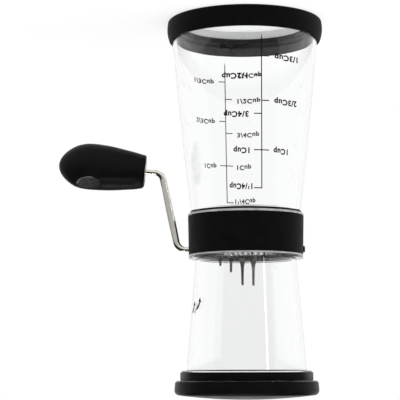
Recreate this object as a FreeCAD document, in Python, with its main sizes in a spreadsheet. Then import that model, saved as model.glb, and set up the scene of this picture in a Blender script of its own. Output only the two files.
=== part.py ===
import FreeCAD, Part
import math
import os
import re

import Sketcher
from FreeCAD import Placement, Rotation, Vector

# Hand-cranked nut grinder, modelled standing on its measuring jar.
# Millimetres, +Z up. The origin is on the jar's axis, on the surface that it stands on.
# The crank comes out towards +X.

sizes = [
    ("foot_ring_height", 11.0, "rubber foot ring, bottom to top edge"),
    ("foot_ring_stand_out", 1.9, "widest part of the ring beyond the jar's foot"),
    ("foot_ring_widest", 2.4, "height of that widest radius"),
    ("foot_ring_wall", 0.55, "ring wall at its thin top edge"),
    ("foot_lip_height", 1.5, "thickness of the lip under the jar"),
    ("foot_lip_width", 5.6, "width of the lip under the jar"),
    ("foot_gap", 0.08, "radial room between ring and jar"),
    ("jar_foot_radius", 39.6, "outer radius of the jar at its floor"),
    ("shoulder_width", 4.1, "jar's shoulder, from the neck out to the side"),
    ("jar_shoulder_height", 103.0, "height of the jar's shoulder"),
    ("jar_bulge", 0.5, "how far the side bows out of a straight line"),
    ("jar_wall", 2.3, "side wall of the jar"),
    ("jar_floor", 2.5, "floor of the jar"),
    ("jar_shoulder_wall", 1.2, "thickness of the shoulder"),
    ("jar_foot_round", 2.2, "rounding of the jar's bottom edge"),
    ("neck_radius", 24.9, "outer radius of the jar's neck"),
    ("neck_height", 10.5, "neck above the shoulder"),
    ("neck_wall", 2.0, "wall of the neck"),
    ("thread_lead", 12.0, "rise of the screw thread in one turn"),
    ("thread_starts", 3, "number of thread starts"),
    ("thread_depth", 1.05, "how far a thread ridge stands out"),
    ("thread_root", 1.8, "height of a ridge at its root"),
    ("thread_crest", 1.0, "height of a ridge at its crest"),
    ("thread_start_height", 1.9, "first jar ridge above the shoulder"),
    ("jar_thread_arc", 200.0, "degrees round the neck of each jar ridge"),
    ("hopper_thread_arc", 60.0, "degrees round the skirt of each hopper ridge"),
    ("thread_gap", 0.35, "radial room between ridge crest and wall"),
    ("gasket_height", 0.9, "thickness of the jar gasket"),
    ("gasket_inset", 0.5, "gasket's edge inside the shoulder's edge"),
    ("skirt_wall", 1.7, "wall of the hopper's skirt under the band"),
    ("low_flange_height", 1.2, "clear ring below the band"),
    ("low_flange_width", 2.6, "how far that ring stands out of the skirt"),
    ("high_flange_height", 2.1, "clear flange above the band"),
    ("high_flange_width", 2.2, "how far that flange stands out of the skirt"),
    ("flange_groove_height", 0.4, "groove round the clear flange"),
    ("flange_groove_depth", 0.9, "depth of that groove"),
    ("band_height", 20.5, "black grip band"),
    ("band_gap", 0.08, "radial room between band and skirt"),
    ("band_round", 0.35, "rounding of the band's edges"),
    ("plate_ledge", 3.1, "ledge that the tooth plate is screwed to"),
    ("throat_slope_height", 2.0, "slope from the hopper wall into the chamber"),
    ("plate_seat_above_neck", 3.5, "seat of the tooth plate above the jar's rim"),
    ("throat_slope_width", 1.2, "width of that slope"),
    ("hopper_flare", 4.9, "how much the hopper widens from flange to lip"),
    ("hopper_height", 58.65, "hopper wall from flange to the thin ring under its mouth band"),
    ("hopper_wall", 2.2, "wall of the hopper"),
    ("mouth_ring_height", 0.8, "thin clear ring under the mouth band"),
    ("mouth_ring_width", 2.7, "how far that ring stands out of the hopper"),
    ("mouth_band_height", 4.35, "black band round the hopper's mouth"),
    ("mouth_band_width", 3.3, "how far the mouth band stands out of the hopper"),
    ("lip_height", 0.7, "clear lip above the mouth band"),
    ("lip_width", 5.7, "how far the lip stands out of the hopper"),
    ("lip_round", 0.2, "rounding of the lip's edges"),
    ("lid_rim_height", 6.6, "side of the lid"),
    ("lid_overhang", 0.9, "how far the lid stands out beyond the lip"),
    ("lid_crown", 2.6, "rise of the lid's dome"),
    ("lid_wall", 2.2, "thickness of the lid"),
    ("lid_rim_round", 2.6, "rounding of the lid's top edge"),
    ("lid_under_round", 0.6, "rounding of the lid's lower edge"),
    ("plug_gap", 0.35, "radial room between lid plug and hopper"),
    ("plug_depth", 5.0, "how far the plug reaches into the hopper"),
    ("plug_wall", 1.8, "wall of the plug"),
    ("plug_taper", 0.3, "how much the plug narrows at its foot"),
    ("shaft_drop", 3.0, "shaft axis below the band's upper edge"),
    ("rod_radius", 1.4, "radius of the crank rod"),
    ("rod_flat_depth", 0.3, "depth of the rod's two flats"),
    ("rod_tail_out", 0.6, "tail of the rod beyond the band"),
    ("rod_bend_radius", 5.0, "centre-line radius of both bends"),
    ("arm_width", 3.9, "width of the arm in its middle, pressed oval"),
    ("arm_thickness", 1.9, "thickness there"),
    ("arm_end_width", 3.6, "width of the arm where a bend begins"),
    ("arm_end_thickness", 2.1, "thickness there"),
    ("arm_stand_off", 1.75, "centre of the upper bend beyond the band"),
    ("arm_lean", 11.65, "degrees that the arm leans outward"),
    ("knob_tilt", 5.2, "degrees that the knob's pin dips"),
    ("knob_stand_off", 21.25, "knob's near face beyond the upper bend's centre"),
    ("crank_throw", 41.5, "shaft axis down to the pin at the knob's near face"),
    ("pin_end_out", 1.25, "end of the pin beyond its clip"),
    ("running_gap", 0.05, "radial clearance of the rod in its bores"),
    ("bush_wall", 0.85, "wall of the bushes"),
    ("bush_flange_width", 0.9, "how far the bush flange stands out"),
    ("bush_flange", 0.8, "thickness of the bush flange"),
    ("bush_stand_in", 1.4, "inner face of the bushes inside the chamber's wall"),
    ("bush_end_gap", 0.2, "bush ends this far inside the skirt's outer face"),
    ("seat_gap", 0.03, "radial room of pressed-in pieces"),
    ("band_hole_gap", 0.3, "radial room of the rod in the band"),
    ("end_cap_wall", 0.4, "wall of the cap pushed on the rod's tail"),
    ("end_cap_taper", 0.25, "how much the cap narrows to its closed end"),
    ("end_cap_length", 0.75, "length of the end cap"),
    ("end_cap_floor", 0.35, "closed end of the end cap"),
    ("tine_count", 6, "tine bars on the rod"),
    ("tine_centre", -0.975, "middle of the row of tine bars, along the rod"),
    ("tine_pitch", 5.85, "distance between tine bars"),
    ("tine_reach", 19.5, "tine tip from the rod's axis"),
    ("tine_tip_radius", 0.6, "radius of a tine near its tip"),
    ("tine_neck_radius", 0.78, "radius of a tine above its flared root"),
    ("tine_neck_height", 11.5, "where the flared root ends"),
    ("tine_root_radius", 2.05, "radius of a tine at its root"),
    ("tine_wall_gap", 0.9, "room between tine tips and the jar's neck"),
    ("tine_root_height", 5.3, "where the tine leaves its straight root"),
    ("hub_wall", 1.8, "wall of a tine bar's hub, round the rod"),
    ("hub_width", 4.25, "hub of a tine bar, along the rod"),
    ("hub_gap", 0.04, "room between the hub's bore and the rod"),
    ("stack_gap", 0.1, "end play between neighbours on the rod"),
    ("middle_pair_angle", 0.0, "lean of the middle pair of tines"),
    ("crank_pair_angle", -59.0, "lean of the pair next to the crank"),
    ("tail_pair_angle", -81.5, "lean of the pair next to the tail"),
    ("middle_pair_spread", 6.5, "half angle between the two bars of the middle pair"),
    ("crank_pair_spread", -3.5, "the same for the pair next to the crank"),
    ("tail_pair_spread", 6.5, "the same for the pair next to the tail"),
    ("spacer_wall", 1.0, "wall of the rings between the tine bars"),
    ("sleeve_wall", 1.3, "wall of the sleeves at both ends of the tine bars"),
    ("plate_thickness", 1.5, "fixed tooth plate"),
    ("plate_gap", 0.2, "radial room round the tooth plate"),
    ("slot_side_gap", 0.05, "room beside a tine's root in its slot"),
    ("slot_end_gap", 0.7, "room between tine tip and slot end"),
    ("tooth_gap", 9.0, "open strip between facing teeth"),
    ("screw_count", 4, "screws that hold the tooth plate"),
    ("screw_inset", 1.8, "screws outward of the chamber's wall"),
    ("screw_radius", 0.6, "radius of the screws"),
    ("screw_length", 4.0, "screw in the hopper's wall"),
    ("screw_hole_gap", 0.1, "radial room of the screws in the tooth plate"),
    ("screw_tip_room", 0.5, "hole beyond the screw's tip"),
    ("screw_head_radius", 1.0, "radius of the screw heads"),
    ("screw_head", 0.8, "height of the screw heads"),
    ("screw_angle", 45.0, "first screw, degrees from the crank"),
    ("core_wall", 1.2, "wall of the hard sleeve inside the knob"),
    ("core_length", 30.0, "length of that sleeve"),
    ("clip_seat", 22.0, "step in the sleeve that the clip keeps to"),
    ("clip_side_gap", 0.4, "room round the clip"),
    ("clip_width", 1.5, "width of the clip pushed on the end of the pin"),
    ("clip_thickness", 1.0, "thickness of the clip"),
    ("clip_gap", 0.25, "room between clip and step"),
]

# Knob sections: step from the last one along the pin, half height, half depth, and the centre's rise
# above the pin. The first one is the knob's near face.
knob_sections = [
    ("near_face", 0.0, 8.1, 7.0, 0.4),
    ("near_round", 1.5, 9.0, 7.8, 0.15),
    ("waist", 10.0, 10.8, 9.2, 0.05),
    ("middle", 8.5, 11.9, 10.1, -0.1),
    ("belly", 10.0, 12.25, 10.4, -0.15),
    ("far_belly", 6.0, 11.2, 9.6, 0.1),
    ("far_round", 4.5, 8.75, 7.6, 0.2),
    ("far_end", 3.2, 5.8, 5.1, 0.3),
    ("tip", 1.65, 3.1, 2.75, 0.35),
    ("tip_end", 0.6, 1.1, 1.0, 0.35),
]

doc = FreeCAD.newDocument("nut_grinder")
sheet = doc.addObject("Spreadsheet::Sheet", "Sizes")
parts = []


def fill_sheet():
    rows = list(sizes)
    for name, step, half_height, half_depth, rise in knob_sections:
        if step:
            rows.append(("knob_" + name + "_step", step, "knob section along the pin from the last"))
        rows.append(("knob_" + name + "_height", half_height, "half height there"))
        rows.append(("knob_" + name + "_depth", half_depth, "half depth there"))
        rows.append(("knob_" + name + "_rise", rise, "centre above the pin there"))
    for number, (alias, value, note) in enumerate(rows, start=1):
        sheet.set("A%d" % number, alias)
        sheet.set("B%d" % number, str(value))
        sheet.setAlias("B%d" % number, alias)
        sheet.set("C%d" % number, note)
    doc.recompute()
    return set(row[0] for row in rows)


aliases = fill_sheet()

# Radii and heights that several pieces share, as formulas of the sizes and of one another.
derived = {
    "foot_ring_radius": "jar_foot_radius + foot_ring_stand_out",
    "foot_lip_radius": "jar_foot_radius - foot_lip_width",
    "jar_floor_top": "foot_lip_height + jar_floor",
    "jar_shoulder_radius": "neck_radius + shoulder_width",
    "side_lean": "jar_foot_radius - jar_shoulder_radius",
    "side_rise": "jar_shoulder_height - foot_lip_height",
    "side_chord": "sqrt(pow(side_lean; 2) + pow(side_rise; 2))",
    "side_bow": "(pow(side_chord / 2; 2) + pow(jar_bulge; 2)) / (2 * jar_bulge)",
    "neck_top": "jar_shoulder_height + neck_height",
    "gasket_top": "jar_shoulder_height + gasket_height",
    "gasket_outer_radius": "jar_shoulder_radius - gasket_inset",
    "skirt_inner": "neck_radius + thread_depth + thread_gap",
    "skirt_radius": "skirt_inner + skirt_wall",
    "low_flange_radius": "skirt_radius + low_flange_width",
    "high_flange_radius": "skirt_radius + high_flange_width",
    "band_bottom": "gasket_top + low_flange_height",
    "band_top": "band_bottom + band_height",
    "flange_top": "band_top + high_flange_height",
    "plate_seat": "neck_top + plate_seat_above_neck",
    "throat_radius": "skirt_inner - plate_ledge",
    "hopper_low_radius": "throat_radius + throat_slope_width + hopper_wall",
    "hopper_high_radius": "hopper_low_radius + hopper_flare",
    "hopper_slope": "hopper_flare / hopper_height",
    "mouth_ring_bottom": "flange_top + hopper_height",
    "mouth_band_bottom": "mouth_ring_bottom + mouth_ring_height",
    "mouth_band_top": "mouth_band_bottom + mouth_band_height",
    "lip_top": "mouth_band_top + lip_height",
    "mouth_ring_radius": "hopper_high_radius + mouth_ring_width",
    "mouth_band_radius": "hopper_high_radius + mouth_band_width",
    "lip_radius": "hopper_high_radius + lip_width",
    "mouth_radius": "hopper_high_radius - hopper_wall + hopper_slope * (lip_top - mouth_ring_bottom)",
    "rim_top": "lip_top + lid_rim_height",
    "lid_rim_radius": "lip_radius + lid_overhang",
    "plug_radius": "mouth_radius - plug_gap",
    "shaft_height": "band_top - shaft_drop",
    "bore_radius": "rod_radius + running_gap",
    "rod_flat": "rod_radius - rod_flat_depth",
    "rod_tail": "high_flange_radius + rod_tail_out",
    "upper_bend_centre": "high_flange_radius + arm_stand_off",
    "knob_reach": "upper_bend_centre + knob_stand_off",
    "arm_top_across": "upper_bend_centre + rod_bend_radius * cos(arm_lean)",
    "arm_top_up": "rod_bend_radius * (sin(arm_lean) - 1)",
    "lower_bend_across": "knob_stand_off + rod_bend_radius * (sin(knob_tilt) - 2 * cos(arm_lean))",
    "lower_bend_up": "rod_bend_radius * (cos(knob_tilt) + 1 - 2 * sin(arm_lean)) - crank_throw",
    "arm_length": ("-(lower_bend_across * sin(knob_tilt) + lower_bend_up * cos(knob_tilt))"
                   " / cos(arm_lean + knob_tilt)"),
    "arm_foot_across": "arm_top_across + arm_length * sin(arm_lean)",
    "arm_foot_up": "arm_top_up - arm_length * cos(arm_lean)",
    "pin_start_across": "arm_foot_across + rod_bend_radius * (cos(arm_lean) - sin(knob_tilt))",
    "pin_start_up": "arm_foot_up + rod_bend_radius * (sin(arm_lean) - cos(knob_tilt))",
    "pin_in_knob": "clip_seat + clip_gap + clip_thickness + pin_end_out",
    "bush_radius": "bore_radius + bush_wall",
    "bush_flange_radius": "bush_radius + bush_flange_width",
    "bush_inset": "throat_radius - bush_stand_in",
    "first_tine": "tine_centre - (tine_count - 1) / 2 * tine_pitch",
    "hub_radius": "rod_radius + hub_wall",
    "spacer_radius": "rod_radius + spacer_wall",
    "sleeve_radius": "rod_radius + sleeve_wall",
    "end_cap_radius": "rod_radius + end_cap_wall",
    "end_cap_end_radius": "end_cap_radius - end_cap_taper",
    "slot_width": "2 * (tine_root_radius + slot_side_gap)",
    "screw_circle": "throat_radius + screw_inset",
    "clip_radius": "rod_radius + clip_width",
    "clip_room_radius": "clip_radius + clip_side_gap",
    "core_radius": "clip_room_radius + core_wall",
}


def bound(text):
    """The same formula with derived names written out and each size's name pointed at the sheet."""
    def point(match):
        word = match.group(0)
        if word in derived:
            return "(" + bound(derived[word]) + ")"
        return "Sizes." + word if word in aliases else word
    return re.sub(r"[A-Za-z_]+[A-Za-z_0-9]*", point, text)


def value(text):
    return float(sheet.evalExpression(bound(text)))


def new_body(label):
    body = doc.addObject("PartDesign::Body", label)
    body.Label = label
    parts.append(body)
    return body


def new_sketch(body, name, plane, lift="0"):
    """A sketch on one of the body's own planes, lifted along that plane's normal."""
    sketch = body.newObject("Sketcher::SketchObject", name)
    support = [f for f in body.Origin.OriginFeatures if f.Role == plane][0]
    sketch.AttachmentSupport = [(support, "")]
    sketch.MapMode = "FlatFace"
    if lift != "0":
        sketch.setExpression("AttachmentOffset.Base.z", bound(lift))
    return sketch


def place_point(sketch, geometry, end, across, up):
    """Ties one end of a line or arc to two formulas."""
    for kind, axis, text in (("DistanceX", -2, across), ("DistanceY", -1, up)):
        if text == "0":
            sketch.addConstraint(Sketcher.Constraint("PointOnObject", geometry, end, axis))
            continue
        constraint = Sketcher.Constraint(kind, -1, 1, geometry, end, value(text))
        index = sketch.addConstraint(constraint)
        sketch.setExpression("Constraints[%d]" % index, bound(text))


def size_arc(sketch, geometry, text):
    index = sketch.addConstraint(Sketcher.Constraint("Radius", geometry, value(text)))
    sketch.setExpression("Constraints[%d]" % index, bound(text))


def arc_between(first, last, radius):
    """An arc bowing to the left of the way from first to last, or to the right if radius < 0."""
    along = last.sub(first)
    half = along.Length / 2
    left = Vector(-along.y, along.x, 0).normalize()
    rise = abs(radius) - math.sqrt(radius * radius - half * half)
    middle = first.add(last).multiply(0.5).add(left.multiply(math.copysign(rise, radius)))
    if radius > 0:
        return Part.Arc(last, middle, first), True
    return Part.Arc(first, middle, last), False


def outline(sketch, corners, arcs=None):
    """A closed outline. arcs maps an edge's number to its radius, as the arc bows."""
    arcs = arcs or {}
    points = [Vector(value(a), value(b), 0) for a, b in corners]
    ends = []
    for number, first in enumerate(points):
        last = points[(number + 1) % len(points)]
        if number in arcs:
            side, text = arcs[number]
            arc, turned = arc_between(first, last, side * value(text))
            geometry = sketch.addGeometry(arc)
            ends.append((geometry, 2, 1) if turned else (geometry, 1, 2))
        else:
            geometry = sketch.addGeometry(Part.LineSegment(first, last))
            ends.append((geometry, 1, 2))
    for number in range(len(points)):
        before = ends[number - 1]
        after = ends[number]
        sketch.addConstraint(Sketcher.Constraint("Coincident", before[0], before[2], after[0], after[1]))
    for number, (across, up) in enumerate(corners):
        place_point(sketch, ends[number][0], ends[number][1], across, up)
        if number in arcs:
            size_arc(sketch, ends[number][0], arcs[number][1])
    return sketch


def circle(sketch, radius, across="0", up="0"):
    centre = Vector(value(across), value(up), 0)
    geometry = sketch.addGeometry(Part.Circle(centre, Vector(0, 0, 1), value(radius)))
    size_arc(sketch, geometry, radius)
    if across == "0" and up == "0":
        sketch.addConstraint(Sketcher.Constraint("Coincident", geometry, 3, -1, 1))
    else:
        place_point(sketch, geometry, 3, across, up)
    return sketch


def turn(body, name, corners, arcs=None, plane="XZ_Plane", axis="V_Axis"):
    """Turns a closed outline round an axis of its sketch."""
    sketch = new_sketch(body, name + "_outline", plane)
    outline(sketch, corners, arcs)
    feature = body.newObject("PartDesign::Revolution", name)
    feature.Profile = sketch
    feature.ReferenceAxis = (sketch, [axis])
    feature.Angle = 360.0
    doc.recompute()
    return feature


def pad(body, sketch, name, length, midplane=False):
    feature = body.newObject("PartDesign::Pad", name)
    feature.Profile = sketch
    feature.Midplane = midplane
    feature.setExpression("Length", bound(length))
    doc.recompute()
    return feature


def pocket(body, sketch, name, length, midplane=False, reverse=False):
    """Cuts a sketch out of the body and makes sure that something was cut."""
    before = body.Shape.Volume
    feature = body.newObject("PartDesign::Pocket", name)
    feature.Profile = sketch
    feature.Midplane = midplane
    feature.Reversed = reverse
    feature.setExpression("Length", bound(length))
    doc.recompute()
    if not feature.Shape.Volume < before - 1e-6:
        raise RuntimeError(name + " cuts nothing")
    return feature


def pattern_round(body, feature, name, count):
    """Repeats a feature round the jar's axis."""
    pattern = body.newObject("PartDesign::PolarPattern", name)
    pattern.Originals = [feature]
    pattern.Axis = ([f for f in body.Origin.OriginFeatures if f.Role == "Z_Axis"][0], [""])
    pattern.Angle = 360.0
    pattern.setExpression("Occurrences", bound(count))
    body.Tip = pattern
    doc.recompute()
    return pattern


def round_edges(body, name, radius, rings):
    """Rounds the circular edges that lie at the given radius and height."""
    base = body.Tip
    found = []
    for ring_radius, ring_height in rings:
        for number, edge in enumerate(base.Shape.Edges, start=1):
            if edge.Degenerated or not isinstance(edge.Curve, Part.Circle):
                continue
            curve = edge.Curve
            same_radius = abs(curve.Radius - value(ring_radius)) < 1e-4
            same_height = abs(curve.Center.z - value(ring_height)) < 1e-4
            if same_radius and same_height and abs(curve.Axis.z) > 0.99:
                found.append("Edge%d" % number)
    if len(found) < len(rings):
        raise RuntimeError(name + " misses an edge")
    fillet = body.newObject("PartDesign::Fillet", name)
    fillet.Base = (base, found)
    fillet.setExpression("Radius", bound(radius))
    doc.recompute()
    return fillet


def on_shaft(body, along="0"):
    """Carries a piece that is drawn round the origin to its place on the rod's axis."""
    body.setExpression("Placement.Base.z", bound("shaft_height"))
    if along != "0":
        body.setExpression("Placement.Base.x", bound(along))


def thread_ridge(body, name, root_radius, crest_radius, middle, arc):
    """One start of the screw thread, swept up a right-hand helix."""
    sketch = new_sketch(body, name + "_section", "XZ_Plane")
    outline(sketch, [
        (root_radius, middle + " - thread_root / 2"),
        (crest_radius, middle + " - thread_crest / 2"),
        (crest_radius, middle + " + thread_crest / 2"),
        (root_radius, middle + " + thread_root / 2"),
    ])
    ridge = body.newObject("PartDesign::AdditiveHelix", name)
    ridge.Profile = sketch
    ridge.ReferenceAxis = (sketch, ["V_Axis"])
    ridge.Mode = "pitch-turns-angle"
    ridge.setExpression("Pitch", bound("thread_lead"))
    ridge.setExpression("Turns", bound(arc + " / 360"))
    doc.recompute()
    return ridge


# Measuring jar and its foot ring

def make_jar():
    body = new_body("measuring_jar")
    inner_top = "jar_shoulder_height - jar_shoulder_wall"
    turn(body, "jar_wall", [
        ("0", "foot_lip_height"),
        ("jar_foot_radius", "foot_lip_height"),
        ("jar_shoulder_radius", "jar_shoulder_height"),
        ("neck_radius", "jar_shoulder_height"),
        ("neck_radius", "neck_top"),
        ("neck_radius - neck_wall", "neck_top"),
        ("neck_radius - neck_wall", inner_top),
        ("jar_shoulder_radius - jar_wall", inner_top),
        ("jar_foot_radius - jar_wall", "jar_floor_top"),
        ("0", "jar_floor_top"),
    ], {1: (-1, "side_bow"), 7: (1, "side_bow")})
    round_edges(body, "foot_round", "jar_foot_round", [("jar_foot_radius", "foot_lip_height")])
    middle = "jar_shoulder_height + thread_start_height"
    ridge = thread_ridge(body, "neck_thread", "neck_radius - neck_wall / 2",
                         "neck_radius + thread_depth", middle, "jar_thread_arc")
    pattern_round(body, ridge, "neck_threads", "thread_starts")


def make_foot_ring():
    body = new_body("foot_ring")
    share = "(foot_ring_height - foot_lip_height) / side_rise"
    inner_top = ("jar_foot_radius - side_lean * " + share
                 + " + 4 * jar_bulge * " + share + " * (1 - " + share + ") + foot_gap")
    turn(body, "ring_wall", [
        ("foot_lip_radius", "0"),
        ("foot_ring_radius - foot_ring_widest", "0"),
        ("foot_ring_radius", "foot_ring_widest"),
        (inner_top + " + foot_ring_wall", "foot_ring_height"),
        (inner_top, "foot_ring_height"),
        ("jar_foot_radius + foot_gap", "foot_lip_height"),
        ("foot_lip_radius", "foot_lip_height"),
    ], {1: (-1, "foot_ring_widest")})


def make_gasket():
    body = new_body("jar_gasket")
    turn(body, "gasket_ring", [
        ("skirt_inner", "jar_shoulder_height"),
        ("gasket_outer_radius", "jar_shoulder_height"),
        ("gasket_outer_radius", "gasket_top"),
        ("skirt_inner", "gasket_top"),
    ])


# Hopper with the collar that holds the grinding works

def make_hopper():
    body = new_body("hopper")
    groove_foot = "band_top + (high_flange_height - flange_groove_height) / 2"
    groove_head = groove_foot + " + flange_groove_height"
    groove_radius = "high_flange_radius - flange_groove_depth"
    turn(body, "hopper_wall_turned", [
        ("skirt_inner", "gasket_top"),
        ("low_flange_radius", "gasket_top"),
        ("low_flange_radius", "band_bottom"),
        ("skirt_radius", "band_bottom"),
        ("skirt_radius", "band_top"),
        ("high_flange_radius", "band_top"),
        ("high_flange_radius", groove_foot),
        (groove_radius, groove_foot),
        (groove_radius, groove_head),
        ("high_flange_radius", groove_head),
        ("high_flange_radius", "flange_top"),
        ("hopper_low_radius", "flange_top"),
        ("hopper_high_radius", "mouth_ring_bottom"),
        ("mouth_ring_radius", "mouth_ring_bottom"),
        ("mouth_ring_radius", "mouth_band_bottom"),
        ("hopper_high_radius", "mouth_band_bottom"),
        ("hopper_high_radius", "mouth_band_top"),
        ("lip_radius", "mouth_band_top"),
        ("lip_radius", "lip_top"),
        ("mouth_radius", "lip_top"),
        ("hopper_low_radius - hopper_wall", "flange_top"),
        ("throat_radius", "flange_top - throat_slope_height"),
        ("throat_radius", "plate_seat"),
        ("skirt_inner", "plate_seat"),
    ])
    round_edges(body, "lip_rounding", "lip_round", [("lip_radius", "lip_top"), ("lip_radius", "mouth_band_top")])
    middle = "jar_shoulder_height + thread_start_height + thread_lead / thread_starts / 2"
    ridge = thread_ridge(body, "skirt_thread", "(skirt_radius + skirt_inner) / 2",
                         "neck_radius + thread_gap", middle, "hopper_thread_arc")
    pattern_round(body, ridge, "skirt_threads", "thread_starts")
    bores = new_sketch(body, "bush_bores", "YZ_Plane")
    circle(bores, "bush_radius + seat_gap", "0", "shaft_height")
    pocket(body, bores, "bush_seats", "2 * high_flange_radius", midplane=True)
    screw_hole = new_sketch(body, "screw_hole_outline", "XY_Plane", "plate_seat")
    circle(screw_hole, "screw_radius + seat_gap",
           "screw_circle * cos(screw_angle)", "screw_circle * sin(screw_angle)")
    hole = pocket(body, screw_hole, "screw_hole", "screw_length + screw_tip_room", reverse=True)
    pattern_round(body, hole, "screw_holes", "screw_count")


def make_band():
    body = new_body("grip_band")
    turn(body, "band_wall", [
        ("skirt_radius + band_gap", "band_bottom"),
        ("low_flange_radius", "band_bottom"),
        ("high_flange_radius", "band_top"),
        ("skirt_radius + band_gap", "band_top"),
    ])
    round_edges(body, "band_rounding", "band_round",
                [("low_flange_radius", "band_bottom"), ("high_flange_radius", "band_top")])
    hole = new_sketch(body, "rod_hole_outline", "YZ_Plane")
    circle(hole, "rod_radius + band_hole_gap", "0", "shaft_height")
    pocket(body, hole, "rod_holes", "3 * low_flange_radius", midplane=True)


def make_mouth_band():
    body = new_body("mouth_band")
    turn(body, "mouth_band_wall", [
        ("hopper_high_radius + band_gap", "mouth_band_bottom"),
        ("mouth_band_radius", "mouth_band_bottom"),
        ("mouth_band_radius", "mouth_band_top"),
        ("hopper_high_radius + band_gap", "mouth_band_top"),
    ])
    round_edges(body, "mouth_band_rounding", "band_round",
                [("mouth_band_radius", "mouth_band_bottom"), ("mouth_band_radius", "mouth_band_top")])


def make_bush(label, side):
    """A flanged bush in the hopper's wall. side is 1 at the crank and -1 at the tail."""
    body = new_body(label)
    turn(body, "bush_turned", [
        ("bush_inset", "bore_radius"),
        ("bush_inset", "bush_flange_radius"),
        ("bush_inset + bush_flange", "bush_flange_radius"),
        ("bush_inset + bush_flange", "bush_radius"),
        ("skirt_radius - bush_end_gap", "bush_radius"),
        ("skirt_radius - bush_end_gap", "bore_radius"),
    ], axis="H_Axis")
    if side < 0:
        body.Placement = Placement(Vector(0, 0, 0), Rotation(Vector(0, 0, 1), 180))
    on_shaft(body)


def slot_half_length(reach):
    """Half length of the slot that a tine of this reach needs at the plate's upper face."""
    return "sqrt(pow(" + reach + "; 2) - pow(shaft_height - plate_seat; 2)) + slot_end_gap"


def tine_place(number):
    return "(first_tine + %d * tine_pitch)" % number


def tine_length(number):
    """A tine's reach, cut short where the jar's round neck leaves less room."""
    room = "(neck_radius - neck_wall - tine_wall_gap)"
    side = "(abs(" + tine_place(number) + ") + tine_tip_radius)"
    return "min(tine_reach; sqrt(pow(" + room + "; 2) - pow(" + side + "; 2)))"


def make_tooth_plate():
    body = new_body("tooth_plate")
    low_face = "plate_seat - plate_thickness"
    disc = new_sketch(body, "plate_disc", "XY_Plane", low_face)
    circle(disc, "skirt_inner - plate_gap")
    pad(body, disc, "plate_blank", "plate_thickness")
    for number in range(int(value("tine_count"))):
        place = tine_place(number)
        reach = slot_half_length(tine_length(number))
        slot = new_sketch(body, "slot_%d_outline" % (number + 1), "XY_Plane", low_face)
        outline(slot, [
            (place + " - slot_width / 2", "-(" + reach + ")"),
            (place + " + slot_width / 2", "-(" + reach + ")"),
            (place + " + slot_width / 2", reach),
            (place + " - slot_width / 2", reach),
        ])
        pocket(body, slot, "slot_%d" % (number + 1), "plate_thickness", reverse=True)
    strip = new_sketch(body, "open_strip_outline", "XY_Plane", low_face)
    left = "first_tine"
    right = tine_place(int(value("tine_count")) - 1)
    outline(strip, [
        (left, "-tooth_gap / 2"),
        (right, "-tooth_gap / 2"),
        (right, "tooth_gap / 2"),
        (left, "tooth_gap / 2"),
    ])
    pocket(body, strip, "open_strip", "plate_thickness", reverse=True)
    hole_outline = new_sketch(body, "plate_hole_outline", "XY_Plane", low_face)
    circle(hole_outline, "screw_radius + screw_hole_gap",
           "screw_circle * cos(screw_angle)", "screw_circle * sin(screw_angle)")
    hole = pocket(body, hole_outline, "plate_hole", "plate_thickness", reverse=True)
    pattern_round(body, hole, "plate_holes", "screw_count")


def make_plate_screws():
    body = new_body("tooth_plate_screws")
    low_face = "plate_seat - plate_thickness"
    across = "screw_circle * cos(screw_angle)"
    up = "screw_circle * sin(screw_angle)"
    head_outline = new_sketch(body, "screw_head_outline", "XY_Plane", low_face + " - screw_head")
    circle(head_outline, "screw_head_radius", across, up)
    head = pad(body, head_outline, "screw_head_disc", "screw_head")
    shank_outline = new_sketch(body, "screw_shank_outline", "XY_Plane", low_face)
    circle(shank_outline, "screw_radius", across, up)
    shank = pad(body, shank_outline, "screw_shank", "plate_thickness + screw_length")
    pattern = pattern_round(body, head, "screws", "screw_count")
    pattern.Originals = [head, shank]
    doc.recompute()


# Crank rod with what turns on it

def rod_section(body, name, across, up, turn_down, half_width, half_thickness):
    """A section of the rod, its centre at (across, up) and its plane turned down from the horizontal."""
    sketch = new_sketch(body, name + "_section", "XY_Plane")
    sketch.AttachmentOffset = Placement(Vector(0, 0, 0), Rotation(Vector(0, 1, 0), 1))
    sketch.setExpression("AttachmentOffset.Base.x", bound(across))
    sketch.setExpression("AttachmentOffset.Base.z", bound(up))
    sketch.setExpression("AttachmentOffset.Rotation.Angle", bound("1deg * (" + turn_down + ")"))
    if half_width == half_thickness:
        return circle(sketch, half_width)
    centre = Vector(0, 0, 0)
    ellipse = Part.Ellipse(Vector(value(half_width), 0, 0), Vector(0, value(half_thickness), 0), centre)
    geometry = sketch.addGeometry(ellipse)
    sketch.exposeInternalGeometry(geometry)
    sketch.addConstraint(Sketcher.Constraint("Coincident", geometry, 3, -1, 1))
    sketch.addConstraint(Sketcher.Constraint("Horizontal", geometry + 1))
    for axis, text in ((geometry + 1, "2 * " + half_width), (geometry + 2, "2 * " + half_thickness)):
        index = sketch.addConstraint(Sketcher.Constraint("Distance", axis, value(text)))
        sketch.setExpression("Constraints[%d]" % index, bound(text))
    return sketch


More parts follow.
